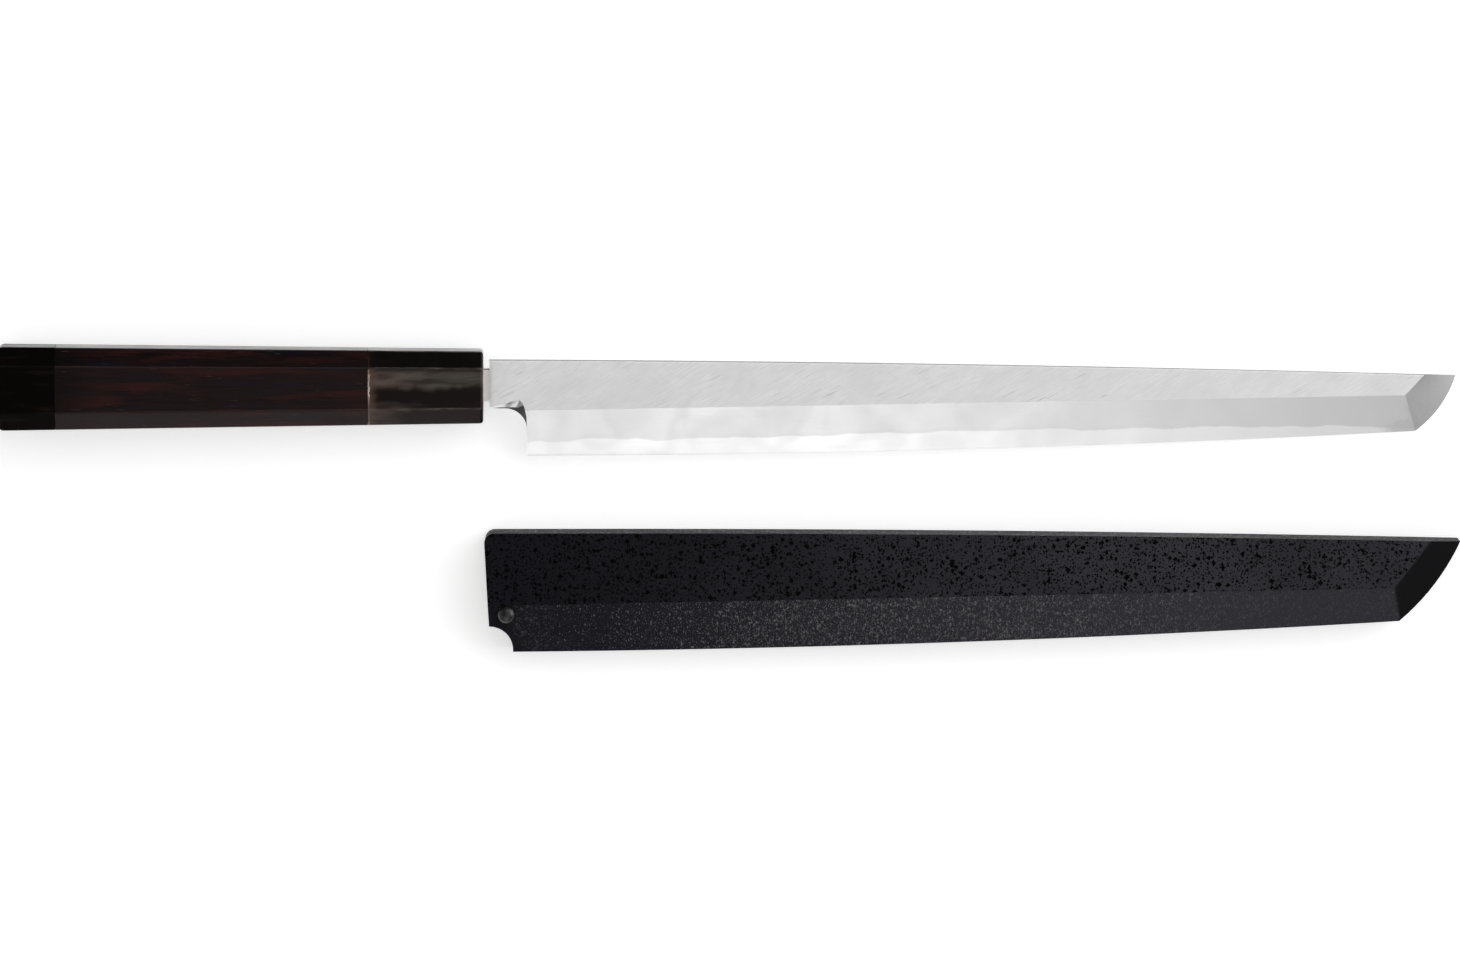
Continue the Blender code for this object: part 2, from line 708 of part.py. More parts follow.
def lay_out(knife, knife_solids, sheath, sheath_solids):
    """Lays the knife on the ferrule's lower arris and its point, and the sheath on its back beside it."""
    ferrule_low = octagon(FERRULE_FACE - FERRULE_RIM, 0.0)[-2][2]
    run = BLADE_LENGTH - FERRULE_FACE + FERRULE_RIM
    knife.rotation_euler = (0.0, math.atan2(BACK_LEVEL - ferrule_low, run), 0.0)
    sheath.rotation_euler = (0.0, 0.0, SHEATH_YAW)
    sheath.location = (-SHEATH_BACKWARDS, -SHEATH_ASIDE, 0.0)
    knife.location.z = -corners_of(knife_solids)[0].z
    low, high = corners_of(knife_solids + sheath_solids)
    for carrier in (knife, sheath):
        carrier.location.x -= (low.x + high.x) / 2
        carrier.location.y -= (low.y + high.y) / 2


def main():
    for leftover in list(bpy.data.objects):
        bpy.data.objects.remove(leftover)
    iron = colour("soft_iron", (0.62, 0.63, 0.65), 0.32, 1.0)
    steel = colour("hard_steel", (0.74, 0.75, 0.77), 0.2, 1.0)
    ebony = colour("dark_ebony", (0.022, 0.009, 0.008), 0.3)
    pale_horn = colour("streaked_horn", (0.055, 0.042, 0.034), 0.16)
    black_horn = colour("black_horn", (0.009, 0.007, 0.006), 0.16)
    dowel_wood = colour("dowel_wood", (0.52, 0.38, 0.22), 0.6)
    lacquer = colour("stone_lacquer", (0.013, 0.013, 0.015), 0.42)
    peg_lacquer = colour("peg_lacquer", (0.01, 0.01, 0.012), 0.3)

    knife = empty("knife_place")
    sheath = empty("sheath_place")
    knife_solids = build_blade(knife, iron, steel)
    knife_solids += build_handle(knife, ebony, pale_horn, black_horn, dowel_wood)
    sheath_solids = build_sheath(sheath, lacquer) + build_peg(sheath, peg_lacquer)
    lay_out(knife, knife_solids, sheath, sheath_solids)


main()
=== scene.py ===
# %% [markdown]
# # A takohiki knife with its sheath
#
# The knife is a long slicer with a sword-like tip. Its blade is ground on one side only, and its
# octagonal handle is dark wood between two pieces of buffalo horn. The sheath is black lacquered wood
# and lies beside it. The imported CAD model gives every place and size. The cells below lay finer pieces
# over it, one at a time, and then give each of them its finish.

# %% Load the CAD model
import json
import math

import bmesh
import bpy
from mathutils import Matrix, Vector


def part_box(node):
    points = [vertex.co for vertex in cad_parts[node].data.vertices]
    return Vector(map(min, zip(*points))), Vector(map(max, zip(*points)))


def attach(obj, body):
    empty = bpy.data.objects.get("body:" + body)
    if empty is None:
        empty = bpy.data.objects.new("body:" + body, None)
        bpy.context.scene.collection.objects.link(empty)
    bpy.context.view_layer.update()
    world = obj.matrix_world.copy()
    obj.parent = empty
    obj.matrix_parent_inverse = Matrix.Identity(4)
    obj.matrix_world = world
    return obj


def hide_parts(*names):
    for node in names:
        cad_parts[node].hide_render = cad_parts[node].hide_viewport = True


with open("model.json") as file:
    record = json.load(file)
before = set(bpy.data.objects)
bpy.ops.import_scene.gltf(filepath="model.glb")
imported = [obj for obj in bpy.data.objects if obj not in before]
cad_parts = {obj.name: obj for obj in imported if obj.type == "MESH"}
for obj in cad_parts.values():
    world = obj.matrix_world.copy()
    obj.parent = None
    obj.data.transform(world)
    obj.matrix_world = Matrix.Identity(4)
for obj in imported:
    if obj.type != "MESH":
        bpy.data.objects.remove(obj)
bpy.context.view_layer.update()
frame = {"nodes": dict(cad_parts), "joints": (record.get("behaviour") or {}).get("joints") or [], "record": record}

# %% [markdown]
# ## Two drawing boards
#
# A knife is easiest to draw lying straight, and this one rests tilted on its handle and its point. So
# the knife is drawn on a board of its own: X along it with 0 at the shoulder, Y up to the spine with 0
# on the handle's axis, Z out of the ground front. The sheath has a second board, with the same X and Y
# but with Z = 0 on its back. Where the boards lie comes from the CAD record, so that nothing is fitted
# by eye: the butt's mount gives the handle's axis, and the slide's axis and the peg give the sheath.

# %% Where knife and sheath lie
MM = 0.001
BUTT_FACE = -151.9 * MM
PEG_AT = Vector((8.55, -13.5, 0.0)) * MM


def board(x_axis, z_axis):
    """The turn of a drawing board from the directions of its X and Z axes."""
    x_axis = Vector(x_axis).normalized()
    y_axis = Vector(z_axis).cross(x_axis).normalized()
    turn = Matrix((x_axis, y_axis, x_axis.cross(y_axis))).transposed()
    return turn.to_4x4()


mounts = {mount["name"]: mount for mount in frame["record"]["mounts"]}
butt = mounts["handle_butt_face"]
slide = next(joint for joint in frame["joints"] if joint["name"] == "sheath_slide")

knife_board = board(-Vector(butt["axis"]), (0, 0, 1))
knife_board.translation = Vector(butt["pos_m"]) - knife_board @ Vector((BUTT_FACE, 0, 0))

sheath_board = board(slide["axis"], (0, 0, 1))
peg_low, peg_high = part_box("sheath_peg")
peg_centre = (peg_low + peg_high) / 2
peg_centre.z = 0.0
sheath_board.translation = peg_centre - sheath_board @ PEG_AT
print("tilt of the knife:", round(math.degrees(knife_board.to_euler().y), 2), "degrees")
print("turn of the sheath:", round(math.degrees(sheath_board.to_euler().z), 2), "degrees")

# %% [markdown]
# ## The blade's lines
#
# Four lines make this blade: the spine, the edge, the ridge between the flat and the bevel, and the
# arc of the tip. A smith draws them on the steel before grinding. Each is a function of X here, so
# that every later step can ask where a line runs.

# %% Spine, edge, ridge and tip
BLADE_LENGTH = 300.0 * MM
NECK_LENGTH = 11.6 * MM
TIP_RUN = 12.4 * MM
TIP_BOW = 1.73 * MM
SPINE_AT_NECK, SPINE_AT_POINT, SPINE_BOW = 8.1 * MM, 2.5 * MM, 3.6 * MM
EDGE_AT_HEEL, EDGE_AT_TIP, EDGE_BOW = -21.9 * MM, -14.9 * MM, 7.2 * MM


def mix(start, end, share):
    """The value that lies this share of the way from start to end."""
    return start + (end - start) * share


def spine_line(x):
    share = x / BLADE_LENGTH
    return mix(SPINE_AT_NECK, SPINE_AT_POINT, share) + SPINE_BOW * share * (1 - share)


def edge_line(x):
    share = (x - NECK_LENGTH) / (BLADE_LENGTH - TIP_RUN - NECK_LENGTH)
    return mix(EDGE_AT_HEEL, EDGE_AT_TIP, share) - EDGE_BOW * share * (1 - share)


class TipArc:
    """The arc from the point to the edge's corner. A wall puts both that far outside the blade's lines."""

    def __init__(self, end=BLADE_LENGTH, run=TIP_RUN, wall=0.0):
        self.point = Vector((end, spine_line(end) + wall))
        self.corner = Vector((end - run, edge_line(end - run) - wall))
        chord = self.point - self.corner
        self.radius = (chord.length_squared / 4 + TIP_BOW**2) / (2 * TIP_BOW)
        outwards = Vector((chord.y, -chord.x)).normalized()
        self.centre = (self.point + self.corner) / 2 - outwards * (self.radius - TIP_BOW)

    def at(self, share):
        """A place on the arc, from the point (0) to the corner (1)."""
        start, end = self.point - self.centre, self.corner - self.centre
        angle = mix(math.atan2(start.y, start.x), math.atan2(end.y, end.x), share)
        return self.centre + self.radius * Vector((math.cos(angle), math.sin(angle)))


RIDGE_HEEL = Vector((NECK_LENGTH, -7.5 * MM))
RIDGE_END = Vector((BLADE_LENGTH - 15.8 * MM, -3.6 * MM))


def ridge_line(x):
    return mix(RIDGE_HEEL.y, RIDGE_END.y, (x - RIDGE_HEEL.x) / (RIDGE_END.x - RIDGE_HEEL.x))


def on(line, x):
    """The place on one of the lines at this X."""
    return Vector((x, line(x)))


def on_circle(centre, radius, turn):
    """The place on a circle in the direction of an angle in degrees."""
    angle = math.radians(turn)
    return centre + radius * Vector((math.cos(angle), math.sin(angle)))


blade_tip = TipArc()
print("tip arc radius in mm:", round(blade_tip.radius / MM, 1))

# %% [markdown]
# ## A grid laid over a form
#
# Blade and sheath are both plates with ground faces. Such a form could be cut from a block with
# Booleans, but these leave ragged faces along each cut. Instead a flat grid is laid over the form like
# a net. Its rows follow the spine, the ridge and the edge, its columns run across, and every crossing
# is moved to its place. Each line of the grind is then a line of the mesh and can be kept sharp.

# %% Lay a grid
def lay_grid(bm, columns):
    """A grid with one crossing for each place in columns. It returns the crossings, column by column."""
    across, along = len(columns[0]), len(columns)
    bmesh.ops.create_grid(bm, x_segments=along - 1, y_segments=across - 1, size=0.5)
    table = [[None] * across for _ in range(along)]
    for vert in bm.verts:
        i = round((vert.co.x + 0.5) * (along - 1))
        j = round((vert.co.y + 0.5) * (across - 1))
        table[i][j] = vert
    for row, places in zip(table, columns):
        for vert, place in zip(row, places):
            vert.co = place
    return table


def cells(table, first, last, low, high):
    """The faces between two columns and two rows of a grid."""
    found = []
    for i in range(first, last):
        for j in range(low, high):
            corners = [table[i][j], table[i + 1][j], table[i + 1][j + 1], table[i][j + 1]]
            found += set.intersection(*(set(corner.link_faces) for corner in corners))
    return found


def shares(count, start=0.0, end=1.0):
    return [mix(start, end, k / count) for k in range(count + 1)]


# %% [markdown]
# Every piece ends in the same way: its doubles are merged, its normals point outwards, it is moved
# from its drawing board to its place in the model, and it rides on a body of the CAD model. Narrow
# bevels beside wide flats shade badly unless the wide faces have the say, which is what the Weighted
# Normal modifier gives them.

# %% Finish a piece
DOUBLES = 0.002 * MM


def verts_of(made):
    return [item for item in made["geom"] if isinstance(item, bmesh.types.BMVert)]


def settle(bm):
    bmesh.ops.remove_doubles(bm, verts=bm.verts, dist=DOUBLES)
    bmesh.ops.recalc_face_normals(bm, faces=bm.faces)


def as_object(name, bm):
    """A new object of the scene that takes over the bmesh."""
    mesh = bpy.data.meshes.new(name)
    bm.to_mesh(mesh)
    bm.free()
    made = bpy.data.objects.new(name, mesh)
    bpy.context.scene.collection.objects.link(made)
    return made


def add_piece(name, bm, place, body, nodes, sharp_from=30.0):
    settle(bm)
    bmesh.ops.transform(bm, matrix=place, verts=bm.verts)
    piece = as_object(name, bm)
    piece.data.shade_smooth()
    piece.data.set_sharp_from_angle(angle=math.radians(sharp_from))
    weighted = piece.modifiers.new("weighted_normals", "WEIGHTED_NORMAL")
    weighted.keep_sharp = True
    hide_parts(*nodes)
    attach(piece, body)
    print(name, len(piece.data.polygons), "faces, closed:", is_closed(piece.data))
    return piece


def is_closed(mesh):
    probe = bmesh.new()
    probe.from_mesh(mesh)
    closed = all(edge.is_manifold for edge in probe.edges)
    probe.free()
    return closed


# %% [markdown]
# ## The blade
#
# The blade is soft iron with hard steel forge-welded under it, ground through both, so the two show as
# one surface. It is one mesh here and stands for both CAD nodes. Its front is flat from the spine down
# to the ridge, then falls to the edge in one wide bevel, and a facet is ground on the tip. First the
# heights: Z is 0 halfway through the neck, and the back lies 2 mm below that.

# %% Heights of the blade's front and back
BACK_LEVEL = -2.0 * MM
NECK_THICKNESS, FRONT_THICKNESS = 4.0 * MM, 2.3 * MM
HOLLOW_DEPTH, HOLLOW_FADE = 0.45 * MM, 24 * MM
HOLLOW_FROM, HOLLOW_TO = 4 * MM, RIDGE_END.x - 2 * MM
EDGE_RIM_SHARE = 1 / 8
FLAT_ROWS = 10
NECK_ROWS = 7
NECK_SHARE = 0.4375
RIM_ROW_SHARES = shares(8, NECK_SHARE, 0.9375)[1:] + [0.982, 1.0]
EDGE_THICKNESS = 0.12 * MM
LAND = 0.15 * MM


def flat_height(x):
    return BACK_LEVEL + mix(NECK_THICKNESS, FRONT_THICKNESS, x / RIDGE_END.x)


def front_height(x, y):
    """The front over a place: flat above the ridge, falling to the edge below it."""
    ridge = ridge_line(x)
    if y >= ridge:
        return flat_height(x)
    return mix(flat_height(x), BACK_LEVEL + LAND, (ridge - y) / (ridge - edge_line(x)))


def back_height(x, y):
    """The back: flat rims along spine and edge, with a long shallow hollow between them."""
    upper = spine_line(x) - (spine_line(x) - ridge_line(x)) / FLAT_ROWS
    lower = edge_line(x) + (ridge_line(x) - edge_line(x)) * EDGE_RIM_SHARE
    across = (upper - y) / (upper - lower)
    reach = min(1.0, (x - HOLLOW_FROM) / HOLLOW_FADE, (HOLLOW_TO - x) / HOLLOW_FADE)
    if reach <= 0 or not 0 < across < 1:
        return BACK_LEVEL
    return BACK_LEVEL + HOLLOW_DEPTH * math.sin(reach * math.pi / 2) * 4 * across * (1 - across)


thicknesses = [round((flat_height(x) - BACK_LEVEL) / MM, 2) for x in (0, RIDGE_END.x)]
print("thickness at neck and ridge end in mm:", thicknesses)

# %% [markdown]
# The notch behind the heel is called the choil. On the real knife it is filed round and its front is
# then cut back in one long hand-polished chamfer, which starts narrow at the neck, is widest just
# before the corner, and dies out towards the heel. Its outline and the chamfer's inner border give the
# last two places of each column of the neck.

# %% Columns of the neck
NECK_BOTTOM = -7.0 * MM
CHOIL_RADIUS = 6.8 * MM
CHOIL_CENTRE = Vector((NECK_LENGTH - CHOIL_RADIUS, NECK_BOTTOM - CHOIL_RADIUS))
TANG_TOP, TANG_BOTTOM = 5.25 * MM, -4.65 * MM


def chamfer_width(turn):
    """How far the chamfer reaches in from the notch, from 90 degrees at the neck to 0 at the heel."""
    angles = (90, 80, 72, 65, 58, 50, 40, 26, 19, 12, 6, 0)
    widths = (1.6, 2.3, 3.0, 3.7, 3.3, 2.5, 1.5, 0.6, 0.28, 0.11, 0.025, 0.0)
    for k in range(len(angles) - 1):
        if turn >= angles[k + 1]:
            part = (angles[k] - turn) / (angles[k] - angles[k + 1])
            return mix(widths[k], widths[k + 1], part) * MM
    return 0.0


def neck_column(top_x, outline, border, flat_shares):
    """Places from the spine down to the chamfer's border and on to the notch."""
    top = on(spine_line, top_x)
    ridge = Vector((border.x, max(border.y, ridge_line(border.x))))
    places = [top.lerp(ridge, part) for part in flat_shares]
    places += [ridge.lerp(border, part) for part in shares(NECK_ROWS)[1:]]
    column = [(*place, front_height(*place)) for place in places]
    start, end = Vector(column[-1]), Vector((*outline, 0.0))
    return column + [start.lerp(end, part) for part in shares(len(RIM_ROW_SHARES))[1:]]


neck_columns = []
for share in shares(4)[:-1]:
    x = share * CHOIL_CENTRE.x
    outline = Vector((x, NECK_BOTTOM))
    border = outline + Vector((0, mix(0.45, chamfer_width(90) / MM, share) * MM))
    flat_shares = shares(FLAT_ROWS)
    if x == 0:
        tang = [(spine_line(0) - y) / (spine_line(0) - border.y) for y in (TANG_TOP, TANG_BOTTOM)]
        flat_shares = [0.0] + shares(FLAT_ROWS - 2, *tang) + [1.0]
    neck_columns.append(neck_column(x, outline, border, flat_shares))
turns = (90, 85, 80, 76, 72, 68, 65, 62, 58, 54, 50, 45, 40, 33, 26, 19, 12, 6, 0)
for turn, share in zip(turns, shares(len(turns) - 1)):
    outline = on_circle(CHOIL_CENTRE, CHOIL_RADIUS, turn)
    border = outline + (outline - CHOIL_CENTRE).normalized() * chamfer_width(turn)
    top_x = mix(CHOIL_CENTRE.x, NECK_LENGTH, share)
    neck_columns.append(neck_column(top_x, outline, border, shares(FLAT_ROWS)))
print("neck columns:", len(neck_columns))

# %% [markdown]
# From the heel to the tip, each column is one straight station across the blade. The stations lean a
# little towards the tip, until the last of them is the broken line where the tip's facet begins. The
# facet itself is ruled from that line to the arc.

# %% Columns of the blade and its tip
STATIONS = 110
FACET_STEPS = 9
FACET_SPINE = BLADE_LENGTH - 9.9 * MM
RIDGE_ON_ARC = 0.417
BEVEL_SHARES = shares(NECK_ROWS, 0.0, NECK_SHARE)[1:] + RIM_ROW_SHARES
ARC_SHARES = shares(FLAT_ROWS, 0.0, RIDGE_ON_ARC)
ARC_SHARES += [mix(RIDGE_ON_ARC, 1.0, part) for part in BEVEL_SHARES]


def blade_column(share):
    top = on(spine_line, mix(NECK_LENGTH, FACET_SPINE, share))
    ridge = RIDGE_HEEL.lerp(RIDGE_END, share)
    edge = on(edge_line, mix(NECK_LENGTH, blade_tip.corner.x, share))
    places = [top.lerp(ridge, part) for part in shares(FLAT_ROWS)]
    places += [ridge.lerp(edge, part) for part in BEVEL_SHARES]
    column = [Vector((*place, front_height(*place))) for place in places]
    column[-1].z = BACK_LEVEL + EDGE_THICKNESS
    return column


def ruled(start, end, steps):
    """Columns between two columns, without the first."""
    return [[near.lerp(far, share) for near, far in zip(start, end)] for share in shares(steps)[1:]]


blade_columns = [blade_column(share) for share in shares(STATIONS)]
facet_start = blade_columns[-1]
facet_end = [Vector((*blade_tip.at(part), BACK_LEVEL + EDGE_THICKNESS)) for part in ARC_SHARES]
facet_columns = ruled(facet_start, facet_end, FACET_STEPS)
print("columns of blade and facet:", len(blade_columns), len(facet_columns))

# %% [markdown]
# Now the net is laid. The neck's last column and the blade's first one share their places down to the
# notch, so the empty cells between the two are deleted and the doubles merged. Then the whole front is
# extruded once, and the extruded copy is pressed down to the back.

# %% Blade front and back
FLAT, BEVEL, FACET, CHOIL, BACK, SPINE = range(6)
RIDGE_ROW = FLAT_ROWS
FOOT_ROW = FLAT_ROWS + NECK_ROWS

bm = bmesh.new()
table = lay_grid(bm, neck_columns + blade_columns + facet_columns)
heel = len(neck_columns)
facet = heel + len(blade_columns) - 1
for first, last, low, high, zone in (
    (0, facet, 0, RIDGE_ROW, FLAT),
    (0, heel, RIDGE_ROW, FOOT_ROW, BEVEL),
    (0, heel, FOOT_ROW, len(table[0]) - 1, CHOIL),
    (heel, facet, RIDGE_ROW, len(table[0]) - 1, BEVEL),
    (facet, len(table) - 1, 0, len(table[0]) - 1, FACET),
):
    for face in cells(table, first, last, low, high):
        face.material_index = zone
bmesh.ops.delete(bm, geom=cells(table, heel - 1, heel, 0, len(table[0]) - 1), context="FACES")
bmesh.ops.remove_doubles(bm, verts=bm.verts, dist=DOUBLES)
under = set(verts_of(bmesh.ops.extrude_face_region(bm, geom=list(bm.faces))))
for vert in under:
    vert.co.z = back_height(vert.co.x, vert.co.y)
for face in bm.faces:
    below = sum(vert in under for vert in face.verts)
    if below == len(face.verts):
        face.material_index = BACK
    elif below:
        middle = face.calc_center_median()
        on_spine = middle.x > 0.01 * MM and middle.y > 2 * MM
        face.material_index = SPINE if on_spine else CHOIL if middle.y < -6 * MM else FLAT
bmesh.ops.recalc_face_normals(bm, faces=bm.faces)
print("blade faces before the tang:", len(bm.faces))

# %% [markdown]
# The tang is forged in one with the blade and runs 112 mm into the handle. Only the 1.9 mm in front of
# the ferrule can be seen. Two rows of the first column were laid at its height, so the faces of the
# shoulder between them are extruded twice: once as far as the ferrule, slightly thinner, and once more
# down to the thin end inside the dowel.

# %% Tang and eased spine
TANG_MIDDLE = 0.3 * MM
TANG_END = -111.9 * MM
FERRULE_FACE = -1.9 * MM


def bevel(bm, edges, offset, segments):
    """Rounds edges and returns the new faces."""
    made = bmesh.ops.bevel(
        bm, geom=edges, offset=offset, segments=segments,
        profile=0.5, affect="EDGES", material=-1, clamp_overlap=True,
    )
    return made["faces"]


shoulder = [
    face
    for face in bm.faces
    if abs(face.calc_center_median().x) < 0.01 * MM
    and abs(face.normal.x) > 0.9
    and TANG_BOTTOM < face.calc_center_median().y < TANG_TOP
]
for x, half_height, half_thickness in ((FERRULE_FACE, 4.9, 1.75), (TANG_END, 2.5, 1.0)):
    made = bmesh.ops.extrude_face_region(bm, geom=shoulder)
    moved = verts_of(made)
    height = max(vert.co.y for vert in moved) - TANG_MIDDLE
    thickness = max(vert.co.z for vert in moved)
    for vert in moved:
        vert.co.x = x
        vert.co.y = TANG_MIDDLE + (vert.co.y - TANG_MIDDLE) * half_height * MM / height
        vert.co.z *= half_thickness * MM / thickness
    bmesh.ops.delete(bm, geom=shoulder, context="FACES")
    shoulder = [item for item in made["geom"] if isinstance(item, bmesh.types.BMFace)]

settle(bm)
for face in bm.faces:
    if face.calc_center_median().x < -0.01 * MM and abs(face.normal.y) > 0.7:
        face.material_index = SPINE
spine_edges = [
    edge
    for edge in bm.edges
    if all(abs(vert.co.y - spine_line(vert.co.x)) < 0.01 * MM for vert in edge.verts)
    and all(0 <= vert.co.x < FACET_SPINE + 0.01 * MM for vert in edge.verts)
    and abs(edge.verts[0].co.x - edge.verts[1].co.x) > 0.1 * MM
    and edge.calc_face_angle(0) > 1.0
]
bevel(bm, spine_edges, 0.3 * MM, 3)
above = bm.verts.layers.float.new("above_edge")
for vert in bm.verts:
    vert[above] = (vert.co.y - edge_line(vert.co.x)) / MM
blade = add_piece(
    "blade", bm, knife_board, "knife", ["blade_iron", "edge_steel"], sharp_from=8.0
)

# %% [markdown]
# ## The handle
#
# A Japanese knife handle of this sort is planed to an octagon that is taller than it is wide and tapers
# towards the blade. It has three pieces: the dark wood, a horn ferrule at the blade and a horn cap at
# the butt. Each starts as an eight-sided drum whose corners move out to the octagon. Its end rim is
# bevelled first and its long arrises after that, so that the arrises run on over the rim, as a file
# leaves them.

# %% An octagonal drum
HANDLE_LENGTH = 150.0 * MM
BUTT_SECTION = {"height": 26.0, "width": 22.5, "rise": 5.7, "depth": 4.8}
FRONT_SECTION = {"height": 22.4, "width": 19.8, "rise": 5.0, "depth": 4.4}
FERRULE_BACK = -37.5 * MM
CAP_FRONT = -133.9 * MM
HALF_SEAM = 0.05 * MM
ARRIS = 0.45 * MM


def octagon_corner(x, y_side, z_side):
    """The corner of the handle's section that lies in this direction."""
    share = (x - BUTT_FACE) / HANDLE_LENGTH
    size = {part: mix(BUTT_SECTION[part], FRONT_SECTION[part], share) for part in BUTT_SECTION}
    top, side = size["height"] / 2, size["width"] / 2
    if abs(y_side) > abs(z_side):
        y, z = top, side - size["depth"]
    else:
        y, z = top - size["rise"], side
    return Vector((x, math.copysign(y, y_side) * MM, math.copysign(z, z_side) * MM))


def octagon_drum(start, end, rim_at, rim, rim_steps):
    """A piece of the handle with bevelled arrises, and with a rim at one of its two ends."""
    bm = bmesh.new()
    turn = Matrix.Rotation(math.radians(22.5), 4, "Z")
    bmesh.ops.create_cone(bm, cap_ends=True, segments=8, radius1=1, radius2=1, depth=1, matrix=turn)
    for vert in bm.verts:
        vert.co = octagon_corner(start if vert.co.z < 0 else end, vert.co.x, vert.co.y)
    bm.normal_update()
    worn_and_highlit = bm.faces.layers.float.new("arris")
    rims = [edge for edge in bm.edges if all(abs(vert.co.x - rim_at) < 1e-6 for vert in edge.verts)]
    made = bevel(bm, rims, rim, rim_steps)
    arrises = [edge for edge in bm.edges if abs(edge.verts[0].co.x - edge.verts[1].co.x) > 1e-7]
    made = set(made) | set(bevel(bm, arrises, ARRIS, 3))
    for face in made:
        if face.is_valid:
            face[worn_and_highlit] = 1.0
    bm.normal_update()
    return bm


# %% [markdown]
# The pieces are held by dowels, so each has a bore. A bore is a circle of edges: the flat end face is
# taken away, the flat ring between the circle and the face's border is filled, and the circle is
# extruded inwards. A blind bore gets a bottom, and a through bore a second ring at its far end.

# %% Drill the pieces
ROUND_SIDES = 48
DOWEL_BORE, BUTT_BORE = 7.15 * MM, 4.15 * MM


def end_border(bm, x):
    """Takes away the large flat face at x and returns the edges that were round it."""
    ends = [face for face in bm.faces if abs(face.calc_center_median().x - x) < 1e-6]
    face = max(ends, key=lambda end: end.calc_area())
    border = list(face.edges)
    bmesh.ops.delete(bm, geom=[face], context="FACES_ONLY")
    return border


def drill(bm, mouth, radius, bottom, through=False):
    """A round bore from the end face at mouth as far as bottom. It returns the edges of its mouth."""
    border = end_border(bm, mouth)
    turn = Matrix.Translation((mouth, 0, 0)) @ Matrix.Rotation(math.radians(90), 4, "Y")
    ring = bmesh.ops.create_circle(bm, segments=ROUND_SIDES, radius=radius, matrix=turn)["verts"]
    rim = list({edge for vert in ring for edge in vert.link_edges})
    bmesh.ops.triangle_fill(bm, edges=border + rim, use_beauty=True, normal=(1, 0, 0))
    made = bmesh.ops.extrude_edge_only(bm, edges=rim)
    low = verts_of(made)
    new_edges = [item for item in made["geom"] if isinstance(item, bmesh.types.BMEdge)]
    low_edges = [edge for edge in new_edges if set(edge.verts) <= set(low)]
    bmesh.ops.translate(bm, verts=low, vec=(bottom - mouth, 0, 0))
    if through:
        border = end_border(bm, bottom)
        bmesh.ops.triangle_fill(bm, edges=low_edges + border, use_beauty=True, normal=(1, 0, 0))
    else:
        bmesh.ops.contextual_create(bm, geom=low_edges)
    bm.normal_update()
    return rim


start, end = FERRULE_BACK + HALF_SEAM, FERRULE_FACE
ferrule_bm = octagon_drum(start, end, rim_at=end, rim=1.0 * MM, rim_steps=4)
mouth_rim = drill(ferrule_bm, end, DOWEL_BORE, bottom=start, through=True)
bevel(ferrule_bm, mouth_rim, 0.3 * MM, 3)
ferrule = add_piece("horn_ferrule", ferrule_bm, knife_board, "knife", ["ferrule"])

start, end = CAP_FRONT + HALF_SEAM, FERRULE_BACK - HALF_SEAM
wood_bm = octagon_drum(start, end, rim_at=start, rim=0.06 * MM, rim_steps=1)
drill(wood_bm, end, DOWEL_BORE, bottom=-116.4 * MM)
drill(wood_bm, start, BUTT_BORE, bottom=-121.4 * MM)
handle_wood = add_piece("ebony_handle", wood_bm, knife_board, "knife", ["handle_body"])

start, end = BUTT_FACE, CAP_FRONT - HALF_SEAM
cap_bm = octagon_drum(start, end, rim_at=start, rim=2.0 * MM, rim_steps=6)
drill(cap_bm, end, BUTT_BORE, bottom=-144.4 * MM)
butt_cap = add_piece("horn_butt_cap", cap_bm, knife_board, "knife", ["butt_cap"])

# %% [markdown]
# ## The sheath
#
# The sheath has the blade's form, 3.7 mm larger along spine and edge: flat, ridge, bevel and a facet on
# the tip. Its tip is cut to an arc of its own, flatter and more slanted than the blade's. Its mouth has
# a round upper corner, a slightly leaning face, and a notch that clears the choil. The real one is
# glued up from thin boards and then lacquered over as one body, so here one shell stands for its five
# CAD nodes. First its lines, as for the blade.

# %% Lines of the sheath
SHEATH_WALL = 3.7 * MM
SHEATH_END = BLADE_LENGTH + 4.64 * MM
SHEATH_TIP_RUN = 19.0 * MM
CAVITY_FLOOR, CAVITY_ROOF = 4.3 * MM, 9.4 * MM
EDGE_LEVEL = CAVITY_ROOF + 1.0 * MM
sheath_tip = TipArc(SHEATH_END, SHEATH_TIP_RUN, SHEATH_WALL)
MOUTH = 2.0 * MM
MOUTH_HEIGHT = 29.2 * MM
MOUTH_TOP = spine_line(MOUTH) + SHEATH_WALL
CORNER_RADIUS, NOTCH_RADIUS = 3.0 * MM, 7.3 * MM
CORNER_CENTRE = Vector((MOUTH + CORNER_RADIUS, MOUTH_TOP - CORNER_RADIUS))
NOTCH_CENTRE = Vector((3.1 * MM, MOUTH_TOP - MOUTH_HEIGHT - NOTCH_RADIUS))
NOTCH_END = NOTCH_CENTRE.x + NOTCH_RADIUS
FACET_ON_SPINE, FACET_ON_RIDGE = 9.5 * MM, 20.9 * MM
SHEATH_FACET_SPINE = sheath_tip.point.x - FACET_ON_SPINE
SHEATH_RIDGE_END = sheath_tip.point.x - FACET_ON_RIDGE
RIDGE_FROM = -3 * MM
BEVEL_AT_MOUTH, BEVEL_AT_TIP = 14.8 * MM, 10.6 * MM
COVER_AT_MOUTH, COVER_AT_TIP = 4.7 * MM, 3.2 * MM


def sheath_spine(x):
    return spine_line(x) + SHEATH_WALL


def sheath_edge(x):
    return edge_line(x) - SHEATH_WALL


